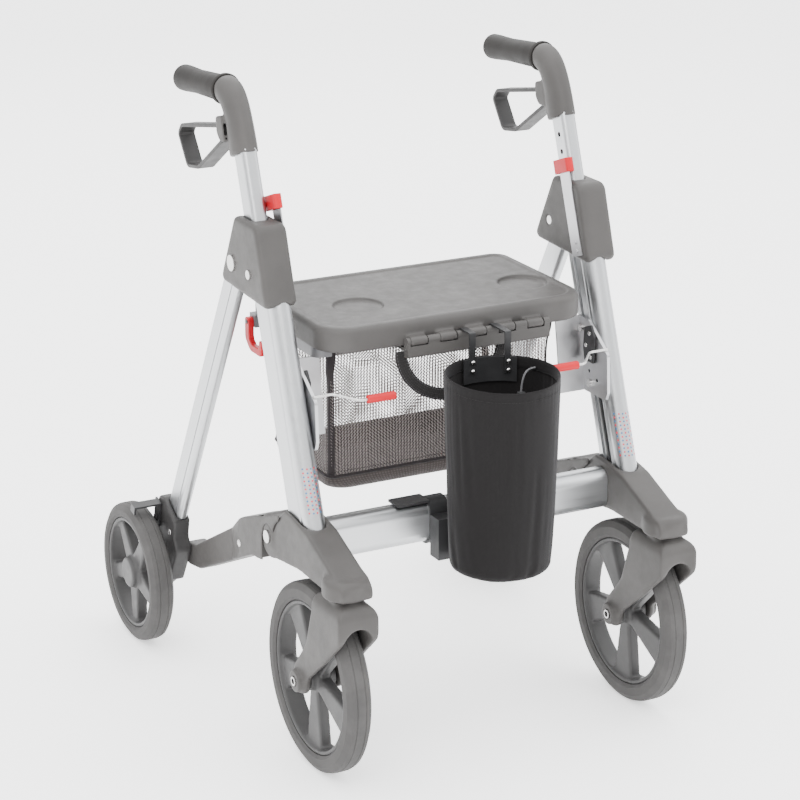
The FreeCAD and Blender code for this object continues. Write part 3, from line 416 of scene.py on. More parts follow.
# ---- what repeats: rivets, stitches and dots, made by Geometry Nodes
class Repeats:
    """One Geometry Nodes tree that puts a small shape at every point of its input."""

    def __init__(self, name, numbers):
        self.tree = bpy.data.node_groups.new(name, "GeometryNodeTree")
        face = self.tree.interface
        face.new_socket("Geometry", in_out="INPUT", socket_type="NodeSocketGeometry")
        face.new_socket("Geometry", in_out="OUTPUT", socket_type="NodeSocketGeometry")
        self.ids = {}
        for title, default in numbers.items():
            socket = face.new_socket(title, in_out="INPUT", socket_type="NodeSocketFloat")
            socket.default_value = default
            self.ids[title] = socket.identifier
        material = face.new_socket("Material", in_out="INPUT", socket_type="NodeSocketMaterial")
        self.ids["Material"] = material.identifier
        self.start = self.tree.nodes.new("NodeGroupInput")
        self.end = self.tree.nodes.new("NodeGroupOutput")

    def add(self, kind, inputs=None, **fields):
        node = self.tree.nodes.new(kind)
        for key, value in fields.items():
            setattr(node, key, value)
        for key, value in (inputs or {}).items():
            if isinstance(value, bpy.types.NodeSocket):
                self.tree.links.new(value, node.inputs[key])
            else:
                node.inputs[key].default_value = value
        return node

    def given(self, title):
        return self.start.outputs[title]

    def close(self, instances):
        """Realises the instances, smooths them, gives the material and ends the tree."""
        plain = self.add("GeometryNodeRealizeInstances", {"Geometry": instances})
        smooth = self.add("GeometryNodeSetShadeSmooth", {"Geometry": plain.outputs[0]})
        done = self.add("GeometryNodeSetMaterial", {"Geometry": smooth.outputs[0],
                                                    "Material": self.given("Material")})
        self.tree.links.new(done.outputs[0], self.end.inputs[0])

    def run(self, obj, finish, **values):
        modifier = obj.modifiers.new("repeat", "NODES")
        modifier.node_group = self.tree
        for title, value in values.items():
            modifier[self.ids[title]] = value
        modifier[self.ids["Material"]] = finish
        return applied(obj)


def dome_tree():
    """Flattened domes standing on points that carry a direction called facing."""
    t = Repeats("domed_heads", {"Radius": 0.003, "Height": 0.0012})
    ball = t.add("GeometryNodeMeshUVSphere", {"Segments": 14, "Rings": 8,
                                              "Radius": t.given("Radius")})
    ratio = t.add("ShaderNodeMath", {0: t.given("Height"), 1: t.given("Radius")},
                  operation="DIVIDE")
    scale = t.add("ShaderNodeCombineXYZ", {0: 1.0, 1: 1.0, 2: ratio.outputs[0]})
    head = t.add("GeometryNodeTransform", {"Geometry": ball.outputs[0],
                                           "Scale": scale.outputs[0]})
    facing = t.add("GeometryNodeInputNamedAttribute", {"Name": "facing"},
                   data_type="FLOAT_VECTOR")
    turn = t.add("FunctionNodeAlignRotationToVector", {"Vector": facing.outputs[0]}, axis="Z")
    heads = t.add("GeometryNodeInstanceOnPoints", {"Points": t.given("Geometry"),
                                                   "Instance": head.outputs[0],
                                                   "Rotation": turn.outputs[0]})
    t.close(heads.outputs[0])
    return t


def stitch_tree():
    """Short rounded stitches in a row along the edges of the input."""
    t = Repeats("stitch_rows", {"Pitch": 0.004, "Length": 0.003, "Thickness": 0.0008})
    line = t.add("GeometryNodeMeshToCurve", {"Mesh": t.given("Geometry")})
    spots = t.add("GeometryNodeCurveToPoints", {"Curve": line.outputs[0],
                                                "Length": t.given("Pitch")}, mode="LENGTH")
    ball = t.add("GeometryNodeMeshUVSphere", {"Segments": 8, "Rings": 6, "Radius": 0.5})
    size = t.add("ShaderNodeCombineXYZ", {0: t.given("Thickness"), 1: t.given("Thickness"),
                                          2: t.given("Length")})
    stitch = t.add("GeometryNodeTransform", {"Geometry": ball.outputs[0],
                                             "Scale": size.outputs[0]})
    row = t.add("GeometryNodeInstanceOnPoints", {"Points": spots.outputs["Points"],
                                                 "Instance": stitch.outputs[0],
                                                 "Rotation": spots.outputs["Rotation"]})
    t.close(row.outputs[0])
    return t


TREES = {}


def mesh_hits(mesh, starts, direction):
    """Where lines from these starts meet a mesh: a list of (point, normal)."""
    tree = BVHTree.FromPolygons([v.co for v in mesh.vertices],
                                [tuple(f.vertices) for f in mesh.polygons])
    found = []
    for start in starts:
        point, normal = tree.ray_cast(Vector(start), Vector(direction))[:2]
        if point is not None:
            found.append((point, normal))
    return found


def surface_hits(node, starts, direction):
    return mesh_hits(frame["nodes"][node].data, starts, direction)


def heads(name, hits, body, slot, finish, radius, height):
    """Domed heads on surface points, as one piece."""
    mesh = bpy.data.meshes.new(name)
    mesh.from_pydata([tuple(point) for point, normal in hits], [], [])
    facing = mesh.attributes.new("facing", "FLOAT_VECTOR", "POINT")
    for i, (point, normal) in enumerate(hits):
        facing.data[i].vector = normal
    piece = link(bpy.data.objects.new(name, mesh))
    TREES["domes"].run(piece, FINISHES[finish], Radius=radius, Height=height)
    return place(piece, body, slot, FINISHES[finish])


def stitches(name, lines, body, slot, finish, pitch=0.0042):
    """Rows of stitches along polylines, as one piece."""
    verts, edges = [], []
    for line in lines:
        base = len(verts)
        verts += [tuple(p) for p in line]
        edges += [(base + i, base + i + 1) for i in range(len(line) - 1)]
    mesh = bpy.data.meshes.new(name)
    mesh.from_pydata(verts, edges, [])
    piece = link(bpy.data.objects.new(name, mesh))
    TREES["stitches"].run(piece, FINISHES[finish], Pitch=pitch,
                          Length=settings().stitch_length)
    return place(piece, body, slot, FINISHES[finish])


# ---- cloth helpers
def loop_strip(name, rings, closed=True):
    """A surface through rings of points, with its own UV map in metres."""
    count = len(rings[0])
    verts = [p for ring in rings for p in ring]
    around = count if closed else count - 1
    faces = []
    for k in range(len(rings) - 1):
        for i in range(around):
            j = (i + 1) % count
            faces.append((k * count + i, (k + 1) * count + i, (k + 1) * count + j,
                          k * count + j))
    mesh = bpy.data.meshes.new(name)
    mesh.from_pydata([tuple(v) for v in verts], [], faces)
    across = [0.0]
    first = rings[0]
    for i in range(around):
        across.append(across[-1] + (Vector(first[(i + 1) % count]) - Vector(first[i])).length)
    down = [0.0]
    for k in range(len(rings) - 1):
        down.append(down[-1] + (Vector(rings[k + 1][0]) - Vector(rings[k][0])).length)
    uv = mesh.uv_layers.new(name="weave")
    for f, polygon in enumerate(mesh.polygons):
        k, i = divmod(f, around)
        spots = ((across[i], down[k]), (across[i], down[k + 1]),
                 (across[i + 1], down[k + 1]), (across[i + 1], down[k]))
        for loop, spot in zip(polygon.loop_indices, spots):
            uv.data[loop].uv = spot
    for polygon in mesh.polygons:
        polygon.use_smooth = True
    return link(bpy.data.objects.new(name, mesh))


def thicken(piece, thickness, offset, levels=0):
    """Gives cloth its thickness, and smooths it when asked."""
    if levels:
        fine = piece.modifiers.new("fine", "SUBSURF")
        fine.levels = levels
        fine.render_levels = levels
    wall = piece.modifiers.new("wall", "SOLIDIFY")
    wall.thickness = thickness
    wall.offset = offset
    wall.use_even_offset = True
    return applied(piece)


def face_outwards(piece, centre):
    """Turns the faces of an open shell so that they look away from its middle."""
    mesh = piece.data
    middle = Vector(centre)
    score = sum((Vector(f.center) - middle).dot(f.normal) * f.area for f in mesh.polygons)
    if score < 0:
        mesh.flip_normals()


# How a loop round a rounded rectangle is divided: its long sides, short sides and corners.
LOOP_ACROSS = 56
LOOP_ALONG = 28
LOOP_ARC = 6


def rounded_loop(half, front, rear, corner, z):
    """Points round a rounded rectangle, the same number for every size."""
    centre = (front + rear) / 2
    depth = (rear - front) / 2
    corner = min(corner, depth * 0.98, half * 0.98)
    points = []
    for sx, sy, turn in ((1, -1, -90), (1, 1, 0), (-1, 1, 90), (-1, -1, 180)):
        cx, cy = sx * (half - corner), centre + sy * (depth - corner)
        for i in range(LOOP_ARC):
            a = math.radians(turn + 90.0 * i / (LOOP_ARC - 1))
            points.append((cx + corner * math.cos(a), cy + corner * math.sin(a), z))
        x, y, z = points[-1]
        steps = LOOP_ALONG if sx * sy < 0 else LOOP_ACROSS
        if (sx, sy) == (1, -1):
            ahead = (half, centre + depth - corner)
        elif (sx, sy) == (1, 1):
            ahead = (-(half - corner), centre + depth)
        elif (sx, sy) == (-1, 1):
            ahead = (-half, centre - depth + corner)
        else:
            ahead = (half - corner, centre - depth)
        for i in range(1, steps):
            t = i / steps
            points.append((x + (ahead[0] - x) * t, y + (ahead[1] - y) * t, z))
    return points


def smoothstep(value):
    value = min(1.0, max(0.0, value))
    return value * value * (3 - 2 * value)


class WALKER_PG_settings(bpy.types.PropertyGroup):
    aluminium: tint("Aluminium", (0.50, 0.51, 0.52), "Satin anodised tubes")
    plastic: tint("Grey plastic", (0.058, 0.055, 0.053), "Castings, covers and seat")
    dark_plastic: tint("Dark plastic", (0.030, 0.029, 0.029), "Brackets and levers")
    hub: tint("Hubs", (0.050, 0.049, 0.049), "Wheel hubs")
    tyre: tint("Tyres", (0.060, 0.058, 0.057), "Wheel tyres")
    grip: tint("Grips", (0.018, 0.0165, 0.0155), "Hand grips")
    red: tint("Red parts", (0.46, 0.006, 0.014), "Catches, sleeves and hook")
    mesh: tint("Mesh", (0.17, 0.145, 0.138), "Basket netting")
    cloth: tint("Cloth", (0.0075, 0.0068, 0.0070), "Hanging bag")
    voxel: sized("Moulding step", 0.0017, "Cell size used to soften the mouldings")
    rivet_radius: sized("Rivet radius", 0.0031, "Domed rivets on plates and straps")
    stitch_length: sized("Stitch length", 0.0030, "Length of one stitch on bag and basket")
    cord_diameter: sized("Cord diameter", 0.0024, "Drawstring of the bag")


class WALKER_OT_materials(bpy.types.Operator):
    """Makes every finish"""
    bl_idname = "walker.materials"
    bl_label = "Finishes"

    def execute(self, context):
        build_finishes()
        TREES["domes"] = dome_tree()
        TREES["stitches"] = stitch_tree()
        return {"FINISHED"}


class WALKER_OT_metalwork(bpy.types.Operator):
    """Dresses the tubes, axles, plates and screws"""
    bl_idname = "walker.metalwork"
    bl_label = "Metalwork"

    def execute(self, context):
        for side in SIDES:
            for stem in ("front_leg", "post", "rear_leg"):
                dress(f"{stem}_{side}", "satin_aluminium", 0.0005)
            for stem in ("rear_axle", "front_axle", "release_wire"):
                dress(f"{stem}_{side}", "steel", 0.0004)
            dress(f"catch_strip_{side}", "carrier_steel", 0.0003)
            dress(f"seat_carrier_{side}", "carrier_steel", 0.0006)
            dress(f"brake_shoe_{side}", "black_metal", 0.0006)
        dress("cross_beam", "beam_aluminium", 0.0006)
        dress("pivot_bolts", "steel", 0.0006)
        dress("carrier_screws", "steel", 0.0005)
        dress("bag_hanger", "black_metal", 0.0004)
        dress("seat_frame", "frame_metal", 0.0010)
        return {"FINISHED"}


class WALKER_OT_mouldings(bpy.types.Operator):
    """Makes the soft-edged plastic castings, covers, arms, forks and handle heads"""
    bl_idname = "walker.mouldings"
    bl_label = "Mouldings"

    def execute(self, context):
        voxel = settings().voxel
        for side in SIDES:
            for stem, finish, rounds in (("front_casting", "grey_plastic", 30),
                                         ("junction_cover", "grey_plastic", 14),
                                         ("handle_head", "grey_plastic", 8),
                                         ("rear_arm", "grey_plastic", 10),
                                         ("caster_fork", "grey_plastic", 22),
                                         ("rear_bracket", "dark_plastic", 8)):
                moulding(f"{stem}_{side}", finish, voxel, rounds)
            dress(f"brake_lever_{side}", "dark_plastic", 0.0012)
            moulding(f"catch_cap_{side}", "red_plastic", 0.0009, 4)
            dress(f"release_sleeve_{side}", "red_plastic", 0.0008)
        moulding("frame_hook", "red_plastic", 0.0009, 3)
        dress("hinge_rail", "grey_plastic", 0.0007)
        dress("bag_clamp", "black_plastic", 0.0008)
        moulding("seat_lid", "grey_plastic", 0.0019, 5)
        return {"FINISHED"}


class WALKER_OT_wheels(bpy.types.Operator):
    """Makes the tyres and hubs"""
    bl_idname = "walker.wheels"
    bl_label = "Wheels"

    def execute(self, context):
        for side in SIDES:
            for end in ("front", "rear"):
                moulding(f"{end}_hub_{side}", "hub_plastic", 0.0021, 5)
                dress(f"{end}_tyre_{side}", "tyre", 0.0004)
            dress(f"grip_{side}", "grip_rubber", 0.0008)
        return {"FINISHED"}


class WALKER_OT_basket(bpy.types.Operator):
    """Makes the netting basket with its floor cloth, piping and bindings"""
    bl_idname = "walker.basket"
    bl_label = "Basket"

    def execute(self, context):
        low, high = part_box("basket")
        half = high[0] - 0.0070 - 0.0010
        front, rear = low[1] + 0.0030 + 0.0010, high[1] - 0.0010
        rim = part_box("seat_frame")[1][2] - 0.0006
        top, floor, bend, end_bend = high[2], low[2] + 0.0015, 0.024, 0.024
        seam = floor + bend + 0.002
        centre = (0.0, (front + rear) / 2, (top + floor) / 2)

        def ring(inset_x, inset_y, z, corner=0.014, swell=0.0):
            loop = rounded_loop(half - inset_x + swell, front + inset_y - swell,
                                rear - inset_y + swell, corner, z)
            hung = []
            for x, y, z in loop:
                rise = smoothstep((top - z) / 0.05) * smoothstep((z - floor) / 0.05)
                slack = 0.0035 * rise * max(0.0, 1 - abs(x) / half) ** 0.6
                ripple = 0.0016 * rise * noise.noise(Vector((x * 22, y * 22, z * 16)))
                over = smoothstep((z - top + 0.030) / 0.030)
                push = 0.0
                if y < centre[1] - 0.04:
                    push = slack - 0.0060 * over
                elif y > centre[1] + 0.04:
                    push = 0.0045 * over - slack
                pull = -0.004 * rise * math.copysign(1, x) if abs(x) > half * 0.97 else 0
                hung.append((x + pull + ripple, y + push + ripple, z))
            return hung

        wall_rows = [rim - (rim - seam) * i / 22 for i in range(23)]
        net = loop_strip("basket_net", [ring(0, 0, z) for z in wall_rows])
        face_outwards(net, centre)
        place(net, "frame", "mesh_fabric", FINISHES["mesh_fabric"], "basket")

        rows = [ring(0, 0, seam - (seam - floor - bend) * i / 4) for i in range(5)]
        for i in range(1, 13):
            a = math.radians(90.0 * i / 12)
            rows.append(ring(end_bend * (1 - math.cos(a)), bend * (1 - math.cos(a)),
                             floor + bend * (1 - math.sin(a)), 0.014 + 0.012 * math.sin(a)))
        depth = (rear - front) / 2 - bend
        for i in range(1, 8):
            t = i / 7
            sag = 0.0060 * math.sin(t * math.pi / 2)
            rows.append(ring(end_bend + depth * 0.9 * t, bend + depth * 0.985 * t, floor - sag,
                             0.026 * (1 - t) + 0.0005))
        cloth = loop_strip("basket_floor", rows)
        bm = bmesh.new()
        bm.from_mesh(cloth.data)
        opening = [e for e in bm.edges if e.is_boundary and e.verts[0].co.z < floor + 0.001]
        bmesh.ops.holes_fill(bm, edges=opening, sides=0)
        bm.to_mesh(cloth.data)
        bm.free()
        face_outwards(cloth, centre)
        thicken(cloth, 0.0012, -1.0)
        place(cloth, "frame", "mesh_fabric", FINISHES["dense_mesh"], "basket")

        for name, rings in (
                ("basket_hem", [ring(0, 0, rim, swell=0.0008),
                                ring(0, 0, rim - 0.004, swell=0.0008)]),
                ("basket_piping", [ring(0, 0, seam + 0.0018, swell=0.0006),
                                   ring(0, 0, seam, swell=0.0018),
                                   ring(0, 0, seam - 0.0018, swell=0.0006)])):
            band = loop_strip(name, rings)
            face_outwards(band, centre)
            thicken(band, 0.0014, 0.0)
            place(band, "frame", "mesh_fabric", FINISHES["binding"])
        corner_rows = [ring(0, 0, z, swell=0.0010) for z in wall_rows]
        side_run, end_run = LOOP_ARC + LOOP_ALONG - 1, LOOP_ARC + LOOP_ACROSS - 1
        starts = (0, side_run, side_run + end_run, 2 * side_run + end_run)
        for number, start in enumerate(starts):
            rows = [[row[(start + i) % len(row)] for i in range(1, 5)] for row in corner_rows]
            band = loop_strip(f"basket_corner_{number}", rows, closed=False)
            face_outwards(band, centre)
            thicken(band, 0.0014, 0.0)
            place(band, "frame", "mesh_fabric", FINISHES["binding"])
        stitches("basket_stitching",
                              [ring(0, 0, seam + 0.006, swell=0.0002)], "frame",
                              "mesh_fabric", "black_fabric")
        return {"FINISHED"}


class WALKER_OT_bag(bpy.types.Operator):
    """Makes the hanging cloth bag with its rim, hem stitching and rivets"""
    bl_idname = "walker.bag"
    bl_label = "Hanging bag"

    def execute(self, context):
        low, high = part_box("bag")
        cx, cy = (low[0] + high[0]) / 2, (low[1] + high[1]) / 2
        top_r, foot_r = (high[0] - low[0]) / 2 - 0.0004, 0.0656
        around, rows, curve = 120, 66, 0.012

        def radius(z):
            t = (z - low[2]) / (high[2] - low[2])
            return foot_r + (top_r - foot_r) * t

        def ring(r, z):
            points = []
            for i in range(around):
                a = 2 * math.pi * i / around
                front = max(0.0, -math.sin(a))
                dip = 0.0045 * front * smoothstep((z - high[2] + 0.06) / 0.06)
                points.append((cx + r * math.cos(a), cy + r * math.sin(a), z - dip))
            return points

        rings = [ring(radius(high[2]) - 0.0030, high[2] - 0.016),
                 ring(radius(high[2]) - 0.0030, high[2] - 0.008),
                 ring(radius(high[2]) - 0.0024, high[2] - 0.0016),
                 ring(radius(high[2]) - 0.0010, high[2] - 0.0002)]
        hem_rows = len(rings)
        for i in range(rows + 1):
            z = high[2] - 0.0016 - (high[2] - 0.0016 - low[2] - curve) * i / rows
            hem = 0.0007 * (1 - smoothstep((high[2] - z - 0.013) / 0.002))
            rings.append(ring(radius(z) - 0.0007 + hem, z))
        for i in range(1, 7):
            a = math.radians(90.0 * i / 6)
            rings.append(ring(radius(low[2]) - 0.0007 - curve * (1 - math.cos(a)),
                              low[2] + 0.0004 + curve * (1 - math.sin(a))))
        base_row = len(rings)
        for share in (0.75, 0.5, 0.25, 0.06):
            rings.append(ring((radius(low[2]) - curve) * share, low[2] + 0.0004))
        bag = loop_strip("hanging_bag", rings)
        mesh = bag.data
        bm = bmesh.new()
        bm.from_mesh(mesh)
        rim = [e for e in bm.edges if e.is_boundary and e.verts[0].co.z < low[2] + 0.002]
        bmesh.ops.holes_fill(bm, edges=rim, sides=0)
        bm.to_mesh(mesh)
        bm.free()
        rest = [v.co.copy() for v in mesh.vertices]
        first, last = (hem_rows + 2) * around, (base_row - 1) * around
        for i in range(first, last):
            p = rest[i]
            out = Vector((p.x - cx, p.y - cy, 0)).normalized()
            a = math.atan2(out.y, out.x)
            drift = noise.noise(Vector((math.cos(a) * 1.4, math.sin(a) * 1.4, p.z * 9)))
            fold = noise.noise(Vector((a * 1.1 + p.z * 14, p.z * 8, 3.1)))
            mesh.vertices[i].co = p + out * (0.0022 * drift - 0.0020 * abs(fold))
        hold = bag.vertex_groups.new(name="held")
        hold.add(list(range(first)) + list(range(last, len(rest))), 1.0, "REPLACE")
        cloth = bag.modifiers.new("cloth", "CLOTH")
        cloth.settings.quality = 6
        cloth.settings.mass = 0.15
        cloth.settings.tension_stiffness = 12
        cloth.settings.compression_stiffness = 12
        cloth.settings.bending_stiffness = 0.35
        cloth.settings.shrink_min = -0.035
        cloth.settings.vertex_group_mass = "held"
        cloth.collision_settings.use_collision = False
        cloth.point_cache.frame_start = 1
        cloth.point_cache.frame_end = 24
        scene = bpy.context.scene
        for step in range(1, 25):
            scene.frame_set(step)
        graph = bpy.context.evaluated_depsgraph_get()
        draped = bag.evaluated_get(graph).to_mesh()
        moved = [v.co.copy() for v in draped.vertices]
        bag.modifiers.clear()
        scene.frame_set(1)
        for i in range(first, last):
            mesh.vertices[i].co = moved[i]
        for i in range(first, last):
            p = rest[i]
            out = Vector((p.x - cx, p.y - cy, 0)).normalized()
            behind = smoothstep((out.y - 0.35) / 0.4)
            shift = mesh.vertices[i].co - p
            if shift.length > 0.0065:
                shift *= 0.0065 / shift.length
            away = shift.dot(out)
            if away > 0.0035:
                shift -= out * (away - 0.0035)
            mesh.vertices[i].co = p + shift * (1 - behind)
        mesh.update()
        face_outwards(bag, (cx, cy, (low[2] + high[2]) / 2))
        thicken(bag, 0.0011, -1.0, levels=1)
        place(bag, "frame", "black_fabric", FINISHES["black_fabric"], "bag")
        seam_line = [Vector(p) for p in ring(radius(high[2] - 0.0135) + 0.0001,
                                             high[2] - 0.0135)]
        sewing = stitches("bag_hem_stitching", [seam_line + [seam_line[0]]], "frame",
                          "black_fabric", "webbing")

        starts = [(x, cy, z) for x in HANGER_X for z in HANGER_RIVET_Z]
        bright = heads("bag_rivets", surface_hits("bag_hanger", starts, (0, 1, 0)), "frame",
                       "black_metal", "rivet", settings().rivet_radius, 0.0016)
        return {"FINISHED"}


# The bag's hanging strips, across the walker.
HANGER_X = (-0.003, 0.041)
HANGER_RIVET_Z = (0.494, 0.506)
# The bag's inner wall, in millimetres: foot radius, flare to the rim, wall, foot and height.
BAG_FOOT_R, BAG_FLARE, BAG_WALL = 66.0, 8.0, 3.0
BAG_FOOT_Z, BAG_HEIGHT = 255.0, 257.0
# The drawstring's way from the bag's wall to its toggle.
CORD_BEND = math.radians(24.0)
CORD_STEPS = ((0.4, 500.0), (12.0, 502.0), (23.0, 498.0), (29.0, 487.0), (30.0, 475.0))


class WALKER_OT_drawstring(bpy.types.Operator):
    """Makes the drawstring and its toggle"""
    bl_idname = "walker.drawstring"
    bl_label = "Drawstring"

    def execute(self, context):
        low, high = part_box("bag")
        cx, cy = (low[0] + high[0]) / 2, (low[1] + high[1]) / 2
        rise = (CORD_STEPS[0][1] - BAG_FOOT_Z) / BAG_HEIGHT
        wall_r = (BAG_FOOT_R + BAG_FLARE * rise - BAG_WALL) * MM
        points = []
        for inwards, z in CORD_STEPS:
            reach = wall_r - inwards * MM
            points.append(Vector((cx + reach * math.cos(CORD_BEND),
                                  cy + reach * math.sin(CORD_BEND), z * MM)))
        curve = bpy.data.curves.new("drawstring_cord", "CURVE")
        curve.dimensions = "3D"
        spline = curve.splines.new("NURBS")
        spline.points.add(len(points) - 1)
        for spot, point in zip(spline.points, points):
            spot.co = (*point, 1.0)
        spline.order_u = 3
        spline.use_endpoint_u = True
        spline.resolution_u = 12
        curve.bevel_depth = settings().cord_diameter / 2
        curve.bevel_resolution = 3
        curve.use_fill_caps = True
        cord = link(bpy.data.objects.new("drawstring_cord", curve))
        place(cord, "frame", slot_of_node("drawstring"), FINISHES["cord"], "drawstring")
        toggle = moulding("cord_toggle", "black_plastic", 0.0006, 3)
        bare = curve.copy()
        bare.bevel_depth = 0.0
        twin = link(bpy.data.objects.new("route", bare))
        bpy.context.view_layer.update()
        graph = bpy.context.evaluated_depsgraph_get()
        line = bpy.data.meshes.new_from_object(twin.evaluated_get(graph), depsgraph=graph)
        bpy.data.objects.remove(twin)
        bpy.data.meshes.remove(line)
        return {"FINISHED"}


class WALKER_OT_strap(bpy.types.Operator):
    """Makes the webbing loop that folds the seat"""
    bl_idname = "walker.strap"
    bl_label = "Fold strap"

    def execute(self, context):
        low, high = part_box("fold_strap")
        centre = (low[0] + high[0]) / 2
        span, drop, width = (high[0] - low[0]) / 2, high[2] - low[2], 0.016
        rings = []
        for i in range(61):
            a = math.pi * (1 + i / 60)
            outer = Vector((centre + span * math.cos(a), 0, high[2] + drop * math.sin(a)))
            inner = Vector((centre + (span - width) * math.cos(a), 0,
                            high[2] + (drop - width) * math.sin(a)))
            row = []
            for k in range(7):
                t = k / 6
                at = outer.lerp(inner, t)
                at.y = (low[1] + high[1]) / 2 + 0.0001 * math.cos(k * math.pi)
                row.append(at)
            rings.append(row)
        strap = loop_strip("webbing_loop", rings, closed=False)
        thicken(strap, 0.0015, 0.0)
        place(strap, "frame", slot_of_node("fold_strap"), FINISHES["webbing"], "fold_strap")
        rows = []
        for share in (0.14, 0.86):
            rows.append([ring[0].lerp(ring[6], share) + Vector((0, -0.0007, 0))
                         for ring in rings])
        stitches("webbing_stitching", rows, "frame", slot_of_node("fold_strap"), "cord")
        return {"FINISHED"}


class WALKER_OT_fittings(bpy.types.Operator):
    """Makes the small plates, screws, painted groove shade on the legs and printed dots"""
    bl_idname = "walker.fittings"
    bl_label = "Fittings"

    def execute(self, context):
        for side in SIDES:
            sign = SIGN[side]
            self.leg_dots(side, sign)
            self.groove_shade_strip(side, sign)
            self.carrier_latch(side, sign)
            arm = [(sign * 0.4, y, z) for y, z in ((-0.036, 0.241),)]
            heads(f"arm_screws_{side}", surface_hits(f"rear_arm_{side}", arm, (-sign, 0, 0)),
                  f"rear_arm_{side}", "steel", "steel", 0.0050, 0.0016)
            leg = [(sign * 0.4, y, z) for y, z in ((0.196, 0.176), (0.214, 0.138))]
            heads(f"bracket_screws_{side}",
                  surface_hits(f"rear_bracket_{side}", leg, (-sign, 0, 0)),
                  f"rear_leg_{side}", "steel", "steel", 0.0045, 0.0015)
        return {"FINISHED"}

    def on_leg(self, z, depth=0.0):
        y, foot = LEG_POINT
        return (y - (foot - z) * math.tan(LEG_LEAN) + depth * math.cos(LEG_LEAN),
                z - depth * math.sin(LEG_LEAN))

    def leg_dots(self, side, sign):
        """A small patch of printed dots low on the front of the leg."""
        for finish, phase in (("dot_red", 0), ("dot_blue", 1)):
            starts = []
            for row in range(12):
                for column in range(5):
                    if (row + column) % 2 == phase:
                        y, z = self.on_leg(0.345 + 0.0048 * row)
                        starts.append((sign * (0.2195 + 0.0050 * column), y - 0.2, z))
            heads(f"leg_dots_{finish[4:]}_{side}",
                  surface_hits(f"front_leg_{side}", starts, (0, 1, 0)),
                  "frame", slot_of_node(f"front_leg_{side}"), finish, 0.0013, 0.00012)

    def groove_shade_strip(self, side, sign):
        """A dark strip along the leg's inner side: painted shade standing in for the shadow in the
        leg's T-slot groove.
        """
        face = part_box(f"front_leg_{side}")
        inner = min(abs(face[0][0]), abs(face[1][0]))
        rings = []
        for i in range(25):
            z = 0.330 + 0.155 * i / 24
            row = []
            for depth, out in ((-0.0035, 0.0), (-0.0030, 0.0010), (0.0030, 0.0010),
                               (0.0035, 0.0)):
                y, height = self.on_leg(z, depth)
                row.append((sign * (inner - 0.0002 - out), y, height))
            rings.append(row)
        # Painted shade: a black strip laid on the face where the groove's shadow falls.
        strip = loop_strip(f"leg_groove_shade_{side}", rings, closed=False)
        face_outwards(strip, (sign * 0.5, strip.data.vertices[0].co.y, 0.4))
        thicken(strip, 0.0010, 0.0)
        place(strip, "frame", slot_of_node(f"front_leg_{side}"), FINISHES["black_plastic"])

    def carrier_latch(self, side, sign):
        """A dark latch plate with bright rivets on the carrier's inner face."""
        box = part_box(f"seat_carrier_{side}")
        inner = min(abs(box[0][0]), abs(box[1][0])) + 0.0368
        y, z = self.on_leg(0.482, -0.006)
        outline = []
        for dy, dz in ((-0.012, -0.026), (0.010, -0.026), (0.014, -0.008), (0.012, 0.020),
                       (-0.004, 0.026), (-0.014, 0.012)):
            outline.append((y + dy, z + dz))
        verts = [(sign * inner, a, b) for a, b in outline]
        verts += [(sign * (inner - 0.0045), a, b) for a, b in outline]
        count = len(outline)
        faces = [tuple(range(count)), tuple(range(2 * count - 1, count - 1, -1))]
        faces += [(i, i + count, (i + 1) % count + count, (i + 1) % count)
                  for i in range(count)]
        plate = mesh_piece(f"latch_plate_{side}", verts, faces, smooth=False)
        bevel = plate.modifiers.new("edge", "BEVEL")
        bevel.width = 0.0015
        bevel.segments = 3
        applied(plate)
        place(plate, "frame", "black_metal", FINISHES["black_metal"])
        starts = [(0.0, y + dy, z + dz) for dy, dz in ((-0.006, -0.018), (0.006, -0.004),
                                                       (-0.002, 0.014))]
        hits = mesh_hits(plate.data, starts, (sign, 0, 0))
        heads(f"latch_rivets_{side}", hits, "frame", "steel", "rivet", 0.0030, 0.0014)


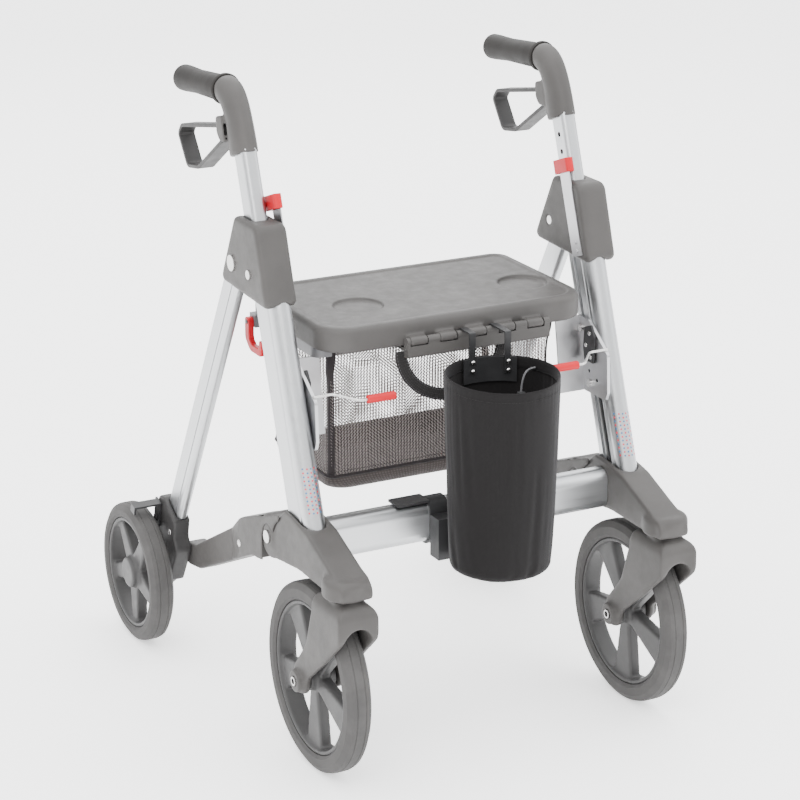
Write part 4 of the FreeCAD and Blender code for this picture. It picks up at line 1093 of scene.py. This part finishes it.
class WALKER_OT_stage(bpy.types.Operator):
    """Makes the camera, the floor and the lights"""
    bl_idname = "walker.stage"
    bl_label = "Stage"

    def execute(self, context):
        turn, rise, reach = math.radians(-27.39), math.radians(18.39), 3.5006
        target = Vector((0.0, -0.028, 0.42))
        away = Vector((math.sin(turn) * math.cos(rise), -math.cos(turn) * math.cos(rise),
                       math.sin(rise)))
        camera = link(bpy.data.objects.new("camera", bpy.data.cameras.new("camera")))
        camera.location = target + away * reach
        camera.rotation_euler = (-away).to_track_quat("-Z", "Y").to_euler()
        camera.data.lens = 116.94
        camera.data.sensor_width = 36.0
        camera.data.shift_x = -0.0089
        camera.data.shift_y = -0.0186
        context.scene.camera = camera
        floor = mesh_piece("floor", [(-30, -30, -0.0005), (30, -30, -0.0005),
                                     (30, 30, -0.0005), (-30, 30, -0.0005)], [(0, 1, 2, 3)])
        g = Graph("pale_floor")
        haze = g.noise(g.coords.outputs["Object"], 0.8, 2.0)
        g.set(Base_Color=g.mix(haze, (0.93, 0.93, 0.93), (0.97, 0.97, 0.97)), Roughness=0.9)
        g.shader.inputs["Emission Color"].default_value = (1.0, 1.0, 1.0, 1.0)
        g.shader.inputs["Emission Strength"].default_value = 0.9
        floor.data.materials.append(g.material)
        for name, at, size, power, colour in (
                ("key_light", (-2.2, -2.6, 3.2), 2.4, 95.0, (1.0, 0.985, 0.97)),
                ("fill_light", (3.2, -1.6, 2.2), 3.0, 48.0, (0.97, 0.985, 1.0)),
                ("top_light", (0.2, 0.6, 3.8), 3.0, 60.0, (1.0, 1.0, 1.0)),
                ("back_light", (1.2, 3.2, 2.4), 2.4, 40.0, (1.0, 1.0, 1.0))):
            light = bpy.data.lights.new(name, "AREA")
            light.energy = power
            light.size = size
            light.color = colour
            lamp = link(bpy.data.objects.new(name, light))
            lamp.location = at
            aim = Vector((0, 0, 0.4)) - Vector(at)
            lamp.rotation_euler = aim.to_track_quat("-Z", "Y").to_euler()
        world = bpy.data.worlds.new("studio")
        world.use_nodes = True
        sky = world.node_tree.nodes["Background"]
        sky.inputs[0].default_value = (0.98, 0.985, 0.99, 1)
        where = world.node_tree.nodes.new("ShaderNodeTexCoord")
        parts = world.node_tree.nodes.new("ShaderNodeSeparateXYZ")
        fade = world.node_tree.nodes.new("ShaderNodeMapRange")
        world.node_tree.links.new(where.outputs["Generated"], parts.inputs[0])
        world.node_tree.links.new(parts.outputs[2], fade.inputs[0])
        for socket, value in zip(fade.inputs[1:5], (-0.05, 0.75, 0.75, 3.4)):
            socket.default_value = value
        world.node_tree.links.new(fade.outputs[0], sky.inputs[1])
        context.scene.world = world
        return {"FINISHED"}


OPERATORS = (WALKER_OT_stage, WALKER_OT_materials, WALKER_OT_drawstring, WALKER_OT_metalwork,
             WALKER_OT_mouldings, WALKER_OT_wheels, WALKER_OT_basket, WALKER_OT_bag,
             WALKER_OT_strap, WALKER_OT_fittings)


class WALKER_PT_panel(bpy.types.Panel):
    """Lists the walker's builders"""
    bl_idname = "WALKER_PT_panel"
    bl_label = "Walker"
    bl_space_type = "VIEW_3D"
    bl_region_type = "UI"
    bl_category = "Walker"

    def draw(self, context):
        layout = self.layout
        for field in WALKER_PG_settings.__annotations__:
            layout.prop(context.scene.walker, field)
        for operator in OPERATORS:
            layout.operator(operator.bl_idname)


CLASSES = (WALKER_PG_settings,) + OPERATORS + (WALKER_PT_panel,)


def register():
    for cls in CLASSES:
        bpy.utils.register_class(cls)
    bpy.types.Scene.walker = bpy.props.PointerProperty(type=WALKER_PG_settings)


def unregister():
    del bpy.types.Scene.walker
    for cls in reversed(CLASSES):
        bpy.utils.unregister_class(cls)


def main():
    register()
    for operator in OPERATORS:
        group, name = operator.bl_idname.split(".")
        getattr(getattr(bpy.ops, group), name)()


if __name__ == "__main__":
    main()
